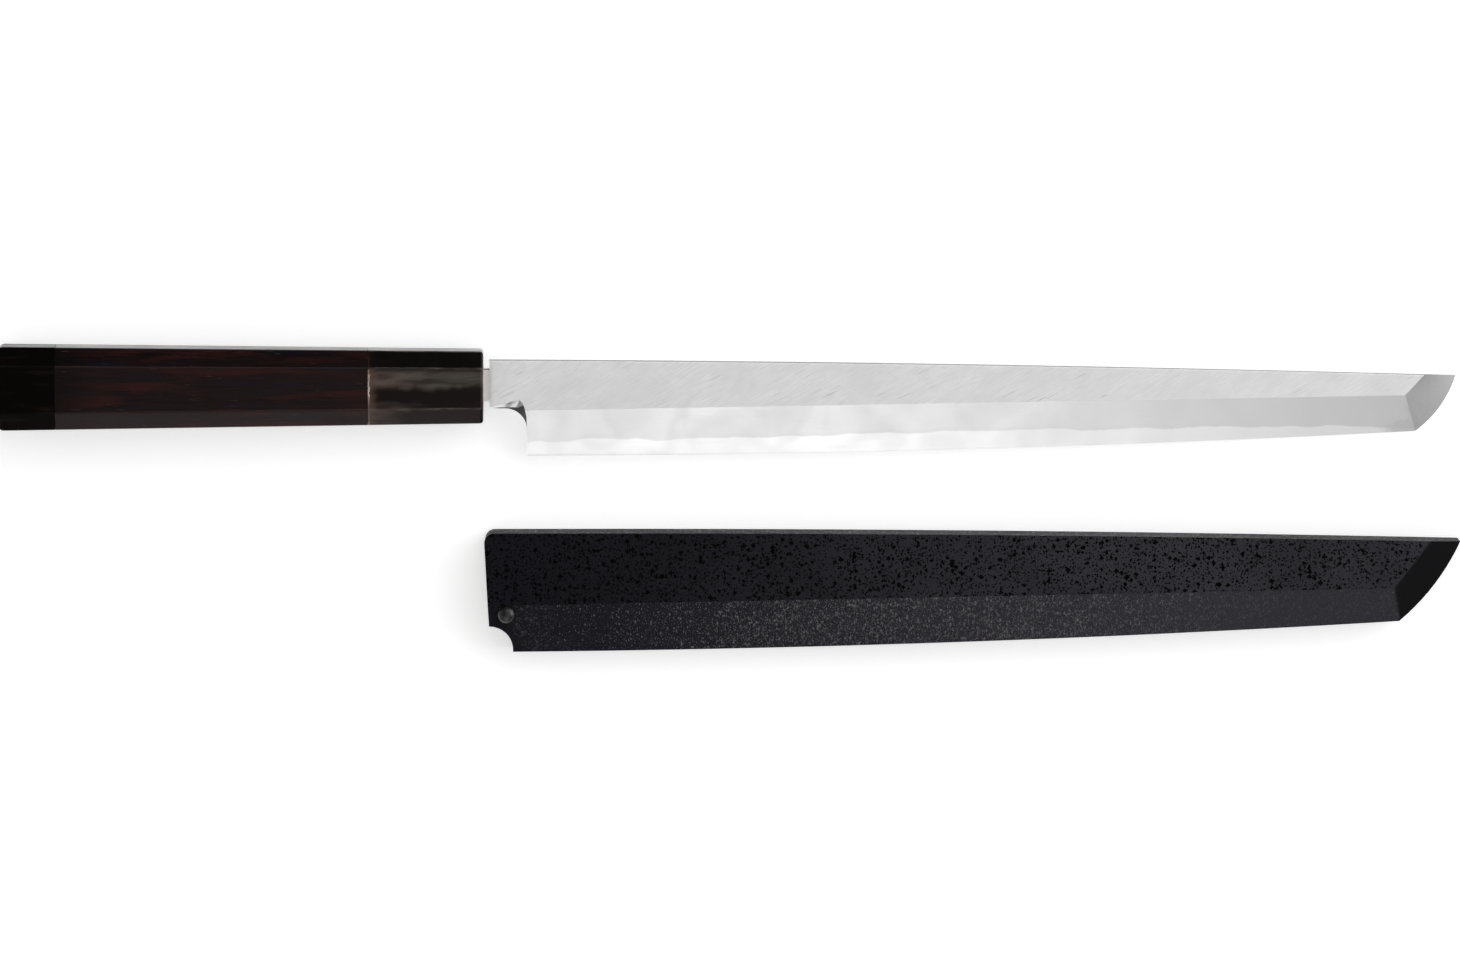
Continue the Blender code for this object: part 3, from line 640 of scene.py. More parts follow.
ridge_start = sheath_edge(RIDGE_FROM) + BEVEL_AT_MOUTH
ridge_stop = sheath_edge(SHEATH_RIDGE_END) + BEVEL_AT_TIP


def sheath_ridge(x):
    return mix(ridge_start, ridge_stop, (x - RIDGE_FROM) / (SHEATH_RIDGE_END - RIDGE_FROM))


def sheath_height(x, y):
    """The front over a place: flat above the ridge, falling to the edge below it."""
    flat = CAVITY_ROOF + mix(COVER_AT_MOUTH, COVER_AT_TIP, (x - MOUTH) / (BLADE_LENGTH - MOUTH))
    ridge = sheath_ridge(x)
    if y >= ridge:
        return flat
    return mix(flat, EDGE_LEVEL, (ridge - y) / (ridge - sheath_edge(x)))


thicknesses = [round(sheath_height(x, sheath_ridge(x)) / MM, 2) for x in (MOUTH, SHEATH_RIDGE_END)]
print("sheath thickness in mm:", thicknesses)

# %% [markdown]
# The same net as for the blade is laid. Its first columns stand along the mouth: each runs from the
# round corner or the spine down to the notch, and the place where it crosses the ridge is found by
# trying, with a better guess each time. The others are straight stations, and the last are ruled from
# the facet's border to the arc of the tip.

# %% Columns of the sheath
SHEATH_FLAT_ROWS = 4
SHEATH_BEVEL_ROWS = 5
MOUTH_STEPS = 18
SHEATH_STATIONS = 44
SHEATH_FACET_STEPS = 5
TRIES = 20
below_ridge = sheath_ridge(NOTCH_END) - NOTCH_CENTRE.y
notch_share = below_ridge / (sheath_ridge(NOTCH_END) - sheath_edge(NOTCH_END))


def sheath_column(top, ridge, foot, rim):
    places = [top.lerp(ridge, part) for part in shares(SHEATH_FLAT_ROWS)]
    places += [ridge.lerp(foot, part) for part in shares(SHEATH_BEVEL_ROWS)[1:]] + [rim]
    return [Vector((*place, sheath_height(*place))) for place in places]


def ridge_crossing(top, foot):
    part = 0.5
    for _ in range(TRIES):
        ridge = top.lerp(foot, part)
        part += (ridge.y - sheath_ridge(ridge.x)) / (top.y - foot.y)
    return ridge


sheath_columns = []
for share in shares(MOUTH_STEPS):
    if share < 0.5:
        top = on_circle(CORNER_CENTRE, CORNER_RADIUS, 180 - 180 * share)
    else:
        top = on(sheath_spine, mix(CORNER_CENTRE.x, NOTCH_END, 2 * share - 1))
    foot = on_circle(NOTCH_CENTRE, NOTCH_RADIUS, 90 - 90 * share)
    sheath_columns.append(sheath_column(top, ridge_crossing(top, foot), foot, foot))
mouth_columns = len(sheath_columns)
for share in shares(SHEATH_STATIONS):
    top = on(sheath_spine, mix(NOTCH_END, SHEATH_FACET_SPINE, share))
    ridge = on(sheath_ridge, mix(NOTCH_END, SHEATH_RIDGE_END, share))
    rim = on(sheath_edge, mix(NOTCH_END, sheath_tip.corner.x, share))
    sheath_columns.append(sheath_column(top, ridge, ridge.lerp(rim, notch_share), rim))
rows = len(sheath_columns[0])
tip_rim = [Vector((*sheath_tip.at(j / (rows - 1)), EDGE_LEVEL)) for j in range(rows)]
sheath_columns += ruled(sheath_columns[-1], tip_rim, SHEATH_FACET_STEPS)
print("columns of the sheath:", len(sheath_columns), "rows:", rows)

# %% [markdown]
# The net is extruded down to the back, whose cells are then dissolved into one face because it is
# plain and flat. Lacquer never stands on a sharp edge: it is rubbed to a radius of about 1.6 mm along
# the spine and round the back, and to a third of a millimetre elsewhere. The Bevel modifier takes a
# weight for each edge, so one pass makes both, with clean corners where they meet.

# %% Sheath body
LACQUER, BARE_WOOD = range(2)
SPINE_ROUND = 1.6 * MM
SMALL_ROUND = 0.35 * MM
ROUND_FADE = 12 * MM
SHARP_BEND, SHARP_UPRIGHT_BEND = 8, 25
WALL_HEIGHT = 5 * MM

bm = bmesh.new()
table = lay_grid(bm, sheath_columns)
bmesh.ops.delete(bm, geom=cells(table, mouth_columns - 1, mouth_columns, 0, rows - 1), context="FACES")
settle(bm)
for vert in verts_of(bmesh.ops.extrude_face_region(bm, geom=list(bm.faces))):
    vert.co.z = 0.0
under = [face for face in bm.faces if all(vert.co.z == 0.0 for vert in face.verts)]
bmesh.ops.dissolve_faces(bm, faces=under, use_verts=False)
settle(bm)
weight = bm.edges.layers.float.new("bevel_weight_edge")
small = SMALL_ROUND / SPINE_ROUND
for edge in bm.edges:
    bend = math.degrees(edge.calc_face_angle(0))
    middle = (edge.verts[0].co + edge.verts[1].co) / 2
    upright = abs(edge.verts[0].co.z - edge.verts[1].co.z) > WALL_HEIGHT
    if bend < SHARP_BEND or upright and bend < SHARP_UPRIGHT_BEND:
        continue
    on_back = middle.z < 0.001 * MM
    on_spine = abs(middle.y - sheath_spine(middle.x)) < 0.05 * MM and middle.z > CAVITY_ROOF
    if on_back or (on_spine and middle.x > MOUTH):
        fade = (SHEATH_FACET_SPINE - middle.x) / ROUND_FADE if on_spine else 1.0
        edge[weight] = mix(small, 1.0, max(0.0, min(1.0, fade)))
    else:
        edge[weight] = small
shell = as_object("sheath_body", bm)
rounding = shell.modifiers.new("rubbed_edges", "BEVEL")
rounding.limit_method = "WEIGHT"
rounding.width = SPINE_ROUND
rounding.segments = 4
rounding.use_clamp_overlap = True
weights = shell.data.attributes["bevel_weight_edge"].data
print("weighted edges:", sum(item.value > 0 for item in weights))

# %% [markdown]
# The cavity and the hole for the peg are cut with Booleans, because a maker cuts them with a gouge and
# a drill too. The cutters carry a second material index, so every face that they leave is bare wood.
# The cavity is the blade's outline with a little clearance, but it ends 3 mm earlier, because the
# sheath's slanted tip would leave it no wall there.

# %% Cavity and peg hole
CLEARANCE = 0.4 * MM
CAVITY_SHORTER = 3.0 * MM
inner_tip = TipArc(BLADE_LENGTH - CAVITY_SHORTER + CLEARANCE, TIP_RUN, CLEARANCE)


def flat_prism(outline, low, high):
    """A flat outline filled with one face and extruded upwards."""
    bm = bmesh.new()
    bmesh.ops.create_circle(bm, segments=len(outline), radius=1, cap_ends=True)
    bm.verts.ensure_lookup_table()
    for vert, place in zip(bm.verts, outline):
        vert.co = (*place, low)
    made = bmesh.ops.extrude_face_region(bm, geom=list(bm.faces))
    bmesh.ops.translate(bm, verts=verts_of(made), vec=(0, 0, high - low))
    return bm


def cut(target, bm):
    """Cuts a bmesh out of the target and leaves the cut faces as bare wood."""
    for face in bm.faces:
        face.material_index = BARE_WOOD
    settle(bm)
    cutter = as_object("cutter", bm)
    for _ in (LACQUER, BARE_WOOD):
        cutter.data.materials.append(None)
    modifier = target.modifiers.new("cut", "BOOLEAN")
    modifier.operation = "DIFFERENCE"
    modifier.solver = "EXACT"
    modifier.object = cutter
    return cutter


CAVITY_START, CAVITY_STEPS, CAVITY_ARC_STEPS = -5 * MM, 40, 12
along = shares(CAVITY_STEPS, CAVITY_START, inner_tip.point.x)[:-1]
outline = [Vector((x, spine_line(x) + CLEARANCE)) for x in along]
outline += [inner_tip.at(part) for part in shares(CAVITY_ARC_STEPS)]
along = shares(CAVITY_STEPS, CAVITY_START, inner_tip.corner.x)[:-1]
outline += [Vector((x, edge_line(x) - CLEARANCE)) for x in reversed(along)]
cavity = cut(shell, flat_prism(outline, CAVITY_FLOOR, CAVITY_ROOF))

HOLE_SMALL_RADIUS, HOLE_LARGE_RADIUS = 1.97 * MM, 3.02 * MM
HOLE_DEPTH, HOLE_MIDDLE = 25 * MM, 7.5 * MM
peg_hole = bmesh.new()
bmesh.ops.create_cone(
    peg_hole, segments=ROUND_SIDES, cap_ends=True, radius1=HOLE_SMALL_RADIUS, radius2=HOLE_LARGE_RADIUS,
    depth=HOLE_DEPTH, matrix=Matrix.Translation((PEG_AT.x, PEG_AT.y, HOLE_MIDDLE)),
)
hole = cut(shell, peg_hole)

for _ in (LACQUER, BARE_WOOD):
    shell.data.materials.append(None)
graph = bpy.context.evaluated_depsgraph_get()
cut_mesh = bpy.data.meshes.new_from_object(shell.evaluated_get(graph))
bm = bmesh.new()
bm.from_mesh(cut_mesh)
print("faces of bare wood:", sum(face.material_index == BARE_WOOD for face in bm.faces))
for leftover in (shell, cavity, hole):
    bpy.data.objects.remove(leftover)


def facet_border(y):
    """Where the tip's facet begins at this height: a broken line from spine over ridge to edge."""
    spine, ridge = sheath_spine(SHEATH_FACET_SPINE), sheath_ridge(SHEATH_RIDGE_END)
    edge = sheath_tip.corner.y
    if y > ridge:
        return mix(SHEATH_RIDGE_END, SHEATH_FACET_SPINE, (y - ridge) / (spine - ridge))
    return mix(SHEATH_RIDGE_END, sheath_tip.corner.x, (ridge - y) / (ridge - edge))


NOT_PAST = -9.0
past = bm.verts.layers.float.new("past_facet")
for vert in bm.verts:
    on_front = vert.co.z > CAVITY_ROOF + 0.5 * MM
    vert[past] = (vert.co.x - facet_border(vert.co.y)) / MM if on_front else NOT_PAST
# These faces mark the front bevel, where the lacquer's granules are painted grey as glints.
front_bevel_faces = bm.faces.layers.float.new("front_bevel_faces")
bm.normal_update()
for face in bm.faces:
    middle = face.calc_center_median()
    face[front_bevel_faces] = float(face.normal.z > 0.8 and middle.y < sheath_ridge(middle.x))
print("faces of the rubbed bevel:", sum(face[front_bevel_faces] > 0 for face in bm.faces))
sheath = add_piece(
    "lacquered_sheath", bm, sheath_board, "sheath",
    [
        "sheath_front_cheek", "sheath_back_cheek",
        "sheath_spine_strip", "sheath_edge_strip", "sheath_tip_strip",
    ],
)

# %% [markdown]
# ## The peg
#
# The peg is turned on a lathe and pushed through both cheeks just behind the heel of the blade. It is a
# profile spun round its axis: a tapered shank, a shoulder, and a head that narrows to a small flat top.

# %% Turned peg
PEG_PROFILE = (
    (0.0, 0.4), (2.0, 0.4), (2.1, 0.55), (2.63, 14.35), (2.65, 14.47),
    (2.6, 14.6), (1.62, 15.5), (1.45, 15.57), (0.0, 15.57),
)
bm = bmesh.new()
points = [bm.verts.new((radius * MM, 0, height * MM)) for radius, height in PEG_PROFILE]
spun = [bm.edges.new(pair) for pair in zip(points, points[1:])]
bmesh.ops.spin(
    bm, geom=points + spun, axis=(0, 0, 1), cent=(0, 0, 0),
    angle=2 * math.pi, steps=ROUND_SIDES, use_merge=True,
)
bmesh.ops.translate(bm, verts=bm.verts, vec=PEG_AT)
peg = add_piece("turned_peg", bm, sheath_board, "peg", ["sheath_peg"])

# %% [markdown]
# ## How the finishes are made
#
# Every finish is a Principled shader with patterns behind its colour, roughness and bump. The patterns
# read Object coordinates, turned and scaled by a Mapping node so that they are in millimetres on the
# drawing board of knife or sheath. A number such as 0.4 is then a width that can be measured on the
# real thing. First a small class that keeps such sums short: the output of a node that can be added and
# multiplied like a number.

# %% Sums and products of node outputs
class Value:
    """An output of a node. Sums and products with it become Math nodes."""

    def __init__(self, tree, socket):
        self.tree, self.socket = tree, socket

    def __add__(self, other):
        return self.tree.math("ADD", self, other)

    def __sub__(self, other):
        return self.tree.math("SUBTRACT", self, other)

    def __rsub__(self, other):
        return self.tree.math("SUBTRACT", other, self)

    def __mul__(self, other):
        return self.tree.math("MULTIPLY", self, other)

    def __truediv__(self, other):
        return self.tree.math("DIVIDE", self, other)

    def __rtruediv__(self, other):
        return self.tree.math("DIVIDE", other, self)

    def __abs__(self):
        return self.tree.math("ABSOLUTE", self)

    __radd__, __rmul__ = __add__, __mul__

    def fade(self, low, high, start=0.0, end=1.0):
        """A smooth step from start to end while the value goes from low to high."""
        inputs = {"Value": self, "From Min": low, "From Max": high, "To Min": start, "To Max": end}
        return self.tree.out(self.tree.node("MapRange", inputs, interpolation_type="SMOOTHSTEP"))


def tint(colour):
    """A colour from an output, from red, green and blue, or from one number for a grey."""
    if isinstance(colour, Value):
        return colour
    return (*colour, 1.0) if isinstance(colour, tuple) else (colour, colour, colour, 1.0)


# %% [markdown]
# A Tree makes the nodes, with the sizes of its patterns in millimetres. A Finish is the tree of one
# material: it holds the shader and the places on the drawing board, feeds colour, roughness and relief
# to the one, and is put on a piece when it is done.

# %% Short calls for nodes
class Tree:
    """A node tree with short calls for the nodes that the finishes use."""

    def __init__(self, tree):
        self.tree = tree

    def node(self, kind, inputs=(), **settings):
        node = self.tree.nodes.new("ShaderNode" + kind)
        for name, value in settings.items():
            setattr(node, name, value)
        for socket, value in dict(inputs).items():
            self.feed(node.inputs[socket], value)
        return node

    def feed(self, socket, value):
        if isinstance(value, Value):
            self.tree.links.new(value.socket, socket)
        else:
            socket.default_value = value

    def out(self, node, name=0):
        return Value(self, node.outputs[name])

    def math(self, operation, first, second=0.0, clamp=False):
        return self.out(self.node("Math", {0: first, 1: second}, operation=operation, use_clamp=clamp))

    def vector(self, operation, first, inputs=(), name=0):
        return self.out(self.node("VectorMath", {0: first, **dict(inputs)}, operation=operation), name)

    def most(self, first, *others):
        for other in others:
            first = self.math("MAXIMUM", first, other)
        return first

    def mapped(self, vector, scale=(1, 1, 1), turn=(0, 0, 0), move=(0, 0, 0)):
        inputs = {"Vector": vector, "Location": move, "Rotation": turn, "Scale": scale}
        return self.out(self.node("Mapping", inputs))

    def turned(self, vector, angle):
        inputs = {"Vector": vector, "Angle": angle}
        return self.out(self.node("VectorRotate", inputs, rotation_type="Z_AXIS"))

    def noise(self, vector, size, detail=2.0, roughness=0.5, distortion=0.0):
        """Noise whose blots are about as wide as size, in millimetres."""
        inputs = {"Vector": vector, "Scale": 1 / size, "Detail": detail, "Roughness": roughness}
        return self.out(self.node("TexNoise", {**inputs, "Distortion": distortion}), "Fac")

    def attribute(self, name):
        return self.out(self.node("Attribute", attribute_name=name), "Fac")

    def mix(self, share, first, second):
        inputs = {"Factor": share, 6: tint(first), 7: tint(second)}
        return self.out(self.node("Mix", inputs, data_type="RGBA"), 2)

    def coats(self, tone, *coats):
        """Colours laid over a tone one after another, each with its share from 0 to 1."""
        for share, colour in coats:
            tone = self.mix(share, tone, colour)
        return tone

    def xyz(self, vector):
        parts = self.node("SeparateXYZ", {0: vector})
        return [self.out(parts, axis) for axis in "XYZ"]

    def group(self, name, **inputs):
        node = self.tree.nodes.new("ShaderNodeGroup")
        node.node_tree = bpy.data.node_groups[name]
        for socket, value in inputs.items():
            self.feed(node.inputs[socket], value)
        return [Value(self, socket) for socket in node.outputs]


class Finish(Tree):
    """A material whose Principled shader has these constants, with places on a drawing board."""

    def __init__(self, name, place, **constants):
        self.material = bpy.data.materials.new(name)
        self.material.use_nodes = True
        super().__init__(self.material.node_tree)
        self.shader = self.tree.nodes["Principled BSDF"].inputs
        for socket, value in constants.items():
            self.shader[socket.replace("_", " ")].default_value = value
        back = place.inverted()
        coordinates = self.out(self.node("TexCoord"), "Object")
        self.at = self.mapped(coordinates, (1000, 1000, 1000), back.to_euler(), back.translation * 1000)

    def show(self, tone, rough, height=None, depth=0.0):
        """Feeds the shader. The height goes from 0 to 1, and its depth is in millimetres."""
        self.tone, self.rough = tone, rough
        self.feed(self.shader["Base Color"], tone)
        self.feed(self.shader["Roughness"], rough)
        if height is not None:
            relief = self.node("Bump", {"Height": height, "Strength": 1.0, "Distance": depth * MM})
            self.feed(self.shader["Normal"], self.out(relief))

    def put_on(self, piece):
        piece.data.materials.append(self.material)
        print(self.material.name, "on", piece.name, "from", len(self.tree.nodes), "nodes")


def new_group(name, numbers, masks):
    """A node group that takes a place and some numbers: its tree, what it is given, what it puts out."""
    group = bpy.data.node_groups.new(name, "ShaderNodeTree")
    group.interface.new_socket("Vector", in_out="INPUT", socket_type="NodeSocketVector")
    for number in numbers:
        group.interface.new_socket(number, in_out="INPUT", socket_type="NodeSocketFloat")
    for mask in masks:
        group.interface.new_socket(mask, in_out="OUTPUT", socket_type="NodeSocketFloat")
    tree, source = Tree(group), group.nodes.new("NodeGroupInput")
    given = [tree.out(source, socket) for socket in ("Vector", *numbers)]
    return tree, given, group.nodes.new("NodeGroupOutput").inputs


# %% [markdown]
# Five effects come back in the finishes, so each is a node group. Scratches are noise drawn out to thin
# lines along one direction, with a few deep ones that lie a little askew. Handling is the faint haze
# and the specks that every polished surface has from wiping hands and cloths.

# %% Groups: scratches and handling
numbers = ("Turn", "Length", "Width")
tree, (at, turn, length, width), put = new_group("scratches", numbers, ("Lines", "Deep"))
stretch = tree.out(tree.node("CombineXYZ", {0: 1.0 / length, 1: 1.0 / width, 2: 1.0 / width}))
turned = tree.turned(at, turn)
fine = tree.noise(tree.vector("MULTIPLY", turned, {1: stretch}), 1.0, roughness=0.6)
askew = tree.vector("MULTIPLY", tree.turned(turned, 0.1), {1: stretch})
rare = tree.noise(tree.mapped(askew, (0.8, 0.6, 0.6), move=(40, 7, 3)), 1.0, detail=0.0)
patches = tree.noise(at, 8.0, detail=1.0)
tree.feed(put["Lines"], fine.fade(0.3, 0.7))
tree.feed(put["Deep"], (rare.fade(0.69, 0.78) - rare.fade(0.31, 0.22)) * patches.fade(0.42, 0.62))

tree, (at, size), put = new_group("handling", ("Size",), ("Haze", "Specks"))
haze = tree.vector("SCALE", at, {"Scale": 1.0 / size})
haze = tree.noise(haze, 1.0, detail=3.0, roughness=0.6, distortion=0.6)
tree.feed(put["Haze"], haze.fade(0.3, 0.75))
tree.feed(put["Specks"], tree.noise(at, 0.5, detail=0.0).fade(0.78, 0.84))

# %% [markdown]
# Arris wear is where a bevelled corner has been rubbed, and the same mask also paints a highlight along
# the arris. Drops are lacquer that has run together round scattered points: each cell of a Voronoi
# pattern holds one, some are too small to show, and a fine noise chips their outline. Wood grain is
# noise drawn out along the fibre, with rings and short pores.

# %% Groups: arris wear and painted highlight, drops and wood grain
tree, (at, arris), put = new_group("arris_wear_and_highlight", ("Arris",), ("WornAndHighlit",))
arris_sheen_and_wear = tree.noise(tree.mapped(at, (0.15, 1, 1)), 1.1, detail=4.0, roughness=0.6)
tree.feed(put["WornAndHighlit"], arris * arris_sheen_and_wear.fade(0.4, 0.75))

tree, (at, size, least, spread), put = new_group("drops", ("Size", "Least", "Spread"), ("Drops",))
SOFT_RIM = 0.08
at = tree.vector("SCALE", at, {"Scale": 1.0 / size})
cell = tree.node("TexVoronoi", {"Vector": at, "Scale": 1.0}, distance="MANHATTAN")
chance = tree.xyz(tree.out(cell, "Color"))[0]
radius = least + chance * spread + (tree.noise(at, 0.4) - 0.5) * 1.1
tree.feed(put["Drops"], tree.math("DIVIDE", radius - tree.out(cell, "Distance"), SOFT_RIM, clamp=True))

tree, (at, ring), put = new_group("wood_grain", ("Ring",), ("Rings", "Fibres", "Pores"))
_, y, z = tree.xyz(at)
wander = tree.noise(tree.mapped(at, (0.02, 0.12, 0.12)), 1.0)
rings = (y + z * 0.45) / ring + wander * 5.0
fibres = tree.noise(tree.mapped(at, (0.09, 1.6, 1.6)), 1.0, detail=4.0, roughness=0.6)
pores = tree.noise(tree.mapped(at, (0.25, 3.2, 3.2), move=(9, 4, 2)), 1.0, detail=1.0)
tree.feed(put["Rings"], tree.math("PINGPONG", rings, 0.5).fade(0.05, 0.45))
tree.feed(put["Fibres"], fibres.fade(0.3, 0.72))
tree.feed(put["Pores"], pores.fade(0.66, 0.74))
print("effects:", sorted(group.name for group in bpy.data.node_groups))

# %% [markdown]
# ## Steel
#
# One knife shows several grinds. The flat carries slanting satin scratches from the stone. The facet on
# the tip is stone-finished and painted darker, as painted shade, and the hollow back is ground across.
# The faces of the spine are painted darker too, as painted shade along the spine, and the tang behind
# them is as dark as it came from the fire. All are the same metal with another direction and depth of
# scratches, and facet and spine also carry painted shade.

# %% Ground steel
def ground_steel(name, colour, roughness, turn, length, width, depth, contrast, **constants):
    """Steel with scratches in one direction. A caller may build on its tone and its roughness."""
    steel = Finish(name, knife_board, **{"Metallic": 1.0, **constants})
    turn = math.radians(turn)
    lines, deep = steel.group("scratches", Vector=steel.at, Turn=turn, Length=length, Width=width)
    haze, _ = steel.group("handling", Vector=steel.at, Size=14.0)
    scratched = steel.mix((deep + 1.0) * 0.5, colour - 5 * contrast, min(1.0, colour + 5 * contrast))
    tone = steel.mix(lines, colour - contrast, colour + contrast)
    tone = steel.coats(tone, (abs(deep), scratched), (haze * 0.5, colour - 3 * contrast))
    rough = (lines - 0.5) * (1.7 * contrast) + roughness + haze * 0.04
    steel.show(tone, rough, lines + deep, depth)
    return steel


satin_flat = ground_steel(
    "satin_flat", colour=0.915, roughness=0.42, turn=-31, length=6.0, width=0.22, depth=0.0018, contrast=0.048
)
# The facet's darker colour is painted shade: it stands for the darker surroundings that the facet reflects.
tip_facet = ground_steel(
    "stone_finished_facet_painted_dark", colour=0.6, roughness=0.4, turn=25, length=9.0, width=0.3,
    depth=0.0005, contrast=0.014,
)
hollow_back = ground_steel(
    "hollow_back", colour=0.78, roughness=0.36, turn=82, length=12.0, width=0.25, depth=0.001, contrast=0.02
)
# The spine's faces get a dark grey colour and less metal: this is painted shade along the spine. The still darker
# tang below is its forge skin.
shaded_spine_and_forged_tang = ground_steel(
    "shaded_spine_and_forged_tang", colour=0.3, roughness=0.5, turn=2, length=9.0, width=0.2, depth=0.001, contrast=0.02,
    Metallic=0.6, Specular_IOR_Level=0.2,
)
on_tang = shaded_spine_and_forged_tang.xyz(shaded_spine_and_forged_tang.at)[0].fade(0.4, -0.1)
tone = shaded_spine_and_forged_tang.mix(on_tang, shaded_spine_and_forged_tang.tone, 0.02)
shaded_spine_and_forged_tang.show(tone, shaded_spine_and_forged_tang.rough + on_tang * 0.4)

# %% [markdown]
# The choil is filed and then polished by hand with paper round a stick. The stick can't reach into the
# corner, where a dark skin from the forge is left, and this skin runs on as a thin line along the rim.
# The dark in the corner is partly this skin and partly a painted dark reflection.

# %% Polished choil with forge skin and a painted dark reflection
polished_choil = ground_steel(
    "polished_choil", colour=0.93, roughness=0.34, turn=0, length=4.0, width=0.25, depth=0.0004, contrast=0.01
)
x, y, _ = polished_choil.xyz(polished_choil.at)
ragged = (polished_choil.noise(polished_choil.at, 1.2, detail=3.0) - 0.5) * 0.8
# The corner mask is partly forge skin and partly painted shade: the dark reflection that the corner shows.
corner = (x * 0.6 - y * 0.8 + ragged).fade(10.3, 11.1) * y.fade(-9.4, -8.4)
rim = x.fade(0.2, 3.5) * y.fade(-6.5, -6.75)
skin_and_dark_reflection = polished_choil.most(corner, rim, y.fade(-8.2, -9.4) * 0.15)
tone = polished_choil.mix(skin_and_dark_reflection * 0.93, polished_choil.tone, 0.05)
polished_choil.show(tone, polished_choil.rough + skin_and_dark_reflection * 0.2)

# %% [markdown]
# The bevel is finished along its length to a soft mist, and below the wavy weld line the hard steel is
# brighter. The line is drawn from the piece itself: an attribute of the mesh says how far each place is
# above the edge, in millimetres, and a table gives the line's height along the blade. Two noises, one
# slow and one quick, make it wander as a real weld does. The middle of the long bevel is painted a
# little lighter and its front end darker, and the hard steel is painted paler from the heel towards the
# middle: painted light and shade along the blade. The corner at the tip keeps a small stain.

# %% Misty bevel with the weld line
WELD_HEIGHTS = (
    (11.6, 4.0), (30, 5.1), (60, 5.0), (110, 5.7), (145, 5.9), (180, 5.4),
    (205, 4.9), (240, 3.4), (265, 3.0), (278, 2.0), (288, 0.5),
)
# Painted light along the bevel: how much lighter its middle is painted.
PAINTED_LIGHT_MIDDLE = ((60, 0.0), (140, 0.25), (165, 0.25), (215, 0.0))


def read_off(x, table):
    """A value read off a table of (x, value) pairs, with straight lines between them."""
    value = table[0][1]
    for (x0, start), (x1, end) in zip(table, table[1:]):
        step = {"Value": x, "From Min": x0, "From Max": x1, "To Min": 0.0, "To Max": end - start}
        value = value + x.tree.out(x.tree.node("MapRange", step))
    return value


misty_bevel = ground_steel(
    "misty_bevel", colour=0.74, roughness=0.38, turn=0.5, length=26.0, width=0.6, depth=0.0001, contrast=0.005
)
at = misty_bevel.at
x = misty_bevel.xyz(at)[0]
above_edge = misty_bevel.attribute("above_edge")
slow = misty_bevel.noise(misty_bevel.mapped(at, (1, 0.3, 0.3)), 11.0, detail=1.0) - 0.5
quick = misty_bevel.noise(misty_bevel.mapped(at, (1, 0.8, 0.8)), 2.2, detail=3.0) - 0.5
below = read_off(x, WELD_HEIGHTS) + slow * 2.2 + quick * 0.7 - above_edge
hard_steel = below.fade(-0.1, 0.25)
halo = below.fade(-1.6, -0.1) * below.fade(0.0, 0.4, 1.0, 0.0)
blotchy = (misty_bevel.noise(at, 2.0, detail=3.0) - 0.5) * 6.0
stain = (x + blotchy).fade(275.5, 281.5) * (above_edge + blotchy).fade(4.6, 2.2)
tone = misty_bevel.coats(
    misty_bevel.tone,
    # painted light: the middle of the bevel is painted lighter
    (read_off(x, PAINTED_LIGHT_MIDDLE), 0.95),
    # painted shade: the front end of the bevel is painted darker
    (x.fade(205, 285, 0.0, 0.4), 0.62),
    (halo * 0.35, 0.7),
    # painted light: the hard steel is painted paler from the heel towards the middle
    (hard_steel, misty_bevel.mix(x.fade(20, 150), 0.79, 0.855)),
    (stain * 0.8, 0.6),
)
misty_bevel.show(tone, misty_bevel.rough - hard_steel * 0.02)
for finish in (satin_flat, misty_bevel, tip_facet, polished_choil, hollow_back, shaded_spine_and_forged_tang):
    finish.put_on(blade)

# %% [markdown]
# ## Handle
#
# The dark wood is close to black, with reddish and bluish streaks along the grain and fine pale flecks
# where the plane opened a pore. Towards the horn cap it is darker still. It is oiled and rubbed until
# it shines, and the oil gives wood and horn a warm gloss.

# %% Dark wood
WARM_GLOSS = (1.0, 0.76, 0.73, 1.0)
ebony = Finish("dark_wood", knife_board, Specular_IOR_Level=0.18, Specular_Tint=WARM_GLOSS)
at = ebony.at
rings, fibres, pores = ebony.group("wood_grain", Vector=at, Ring=4.5)
haze, _ = ebony.group("handling", Vector=at, Size=18.0)
(worn_and_highlit,) = ebony.group("arris_wear_and_highlight", Vector=at, Arris=ebony.attribute("arris"))
fields = ebony.noise(ebony.mapped(at, (0.035, 0.3, 0.3)), 1.0, detail=3.0, roughness=0.55, distortion=0.4)
rare = ebony.noise(ebony.mapped(at, (0.1, 0.4, 0.4), move=(3, 6, 9)), 1.0, detail=1.0)
flecks = pores * rare.fade(0.52, 0.66)
near_cap = ebony.xyz(at)[0].fade(-119.0, -133.0)
tone = ebony.coats(
    ebony.mix(fibres, (0.003, 0.0016, 0.0016), (0.0075, 0.004, 0.004)),
    (fields.fade(0.5, 0.7) * 0.8, (0.0215, 0.0055, 0.0046)),
    (fields.fade(0.47, 0.32) * 0.8, (0.0026, 0.0034, 0.0066)),
    (rings * 0.12, (0.015, 0.0075, 0.0065)),
    (near_cap * 0.85, (0.0012, 0.0009, 0.0009)),
    (flecks * 0.4, (0.09, 0.065, 0.06)),
    # The arrises are a touch lighter: partly wear, partly a painted highlight along them.
    (worn_and_highlit * 0.04, (0.06, 0.034, 0.03)),
)
ebony.show(tone, fibres * 0.06 + haze * 0.06 + 0.15, fibres * 0.3 - flecks, depth=0.006)
ebony.put_on(handle_wood)

# %% [markdown]
# Buffalo horn is black with cloudy streaks of grey and beige that run along it. The ferrule was cut so
# that one such cloud lies on its side, and at its back end, next to the wood, it turns to amber with a
# ragged pale line along the joint. The butt cap comes from a plain black piece.

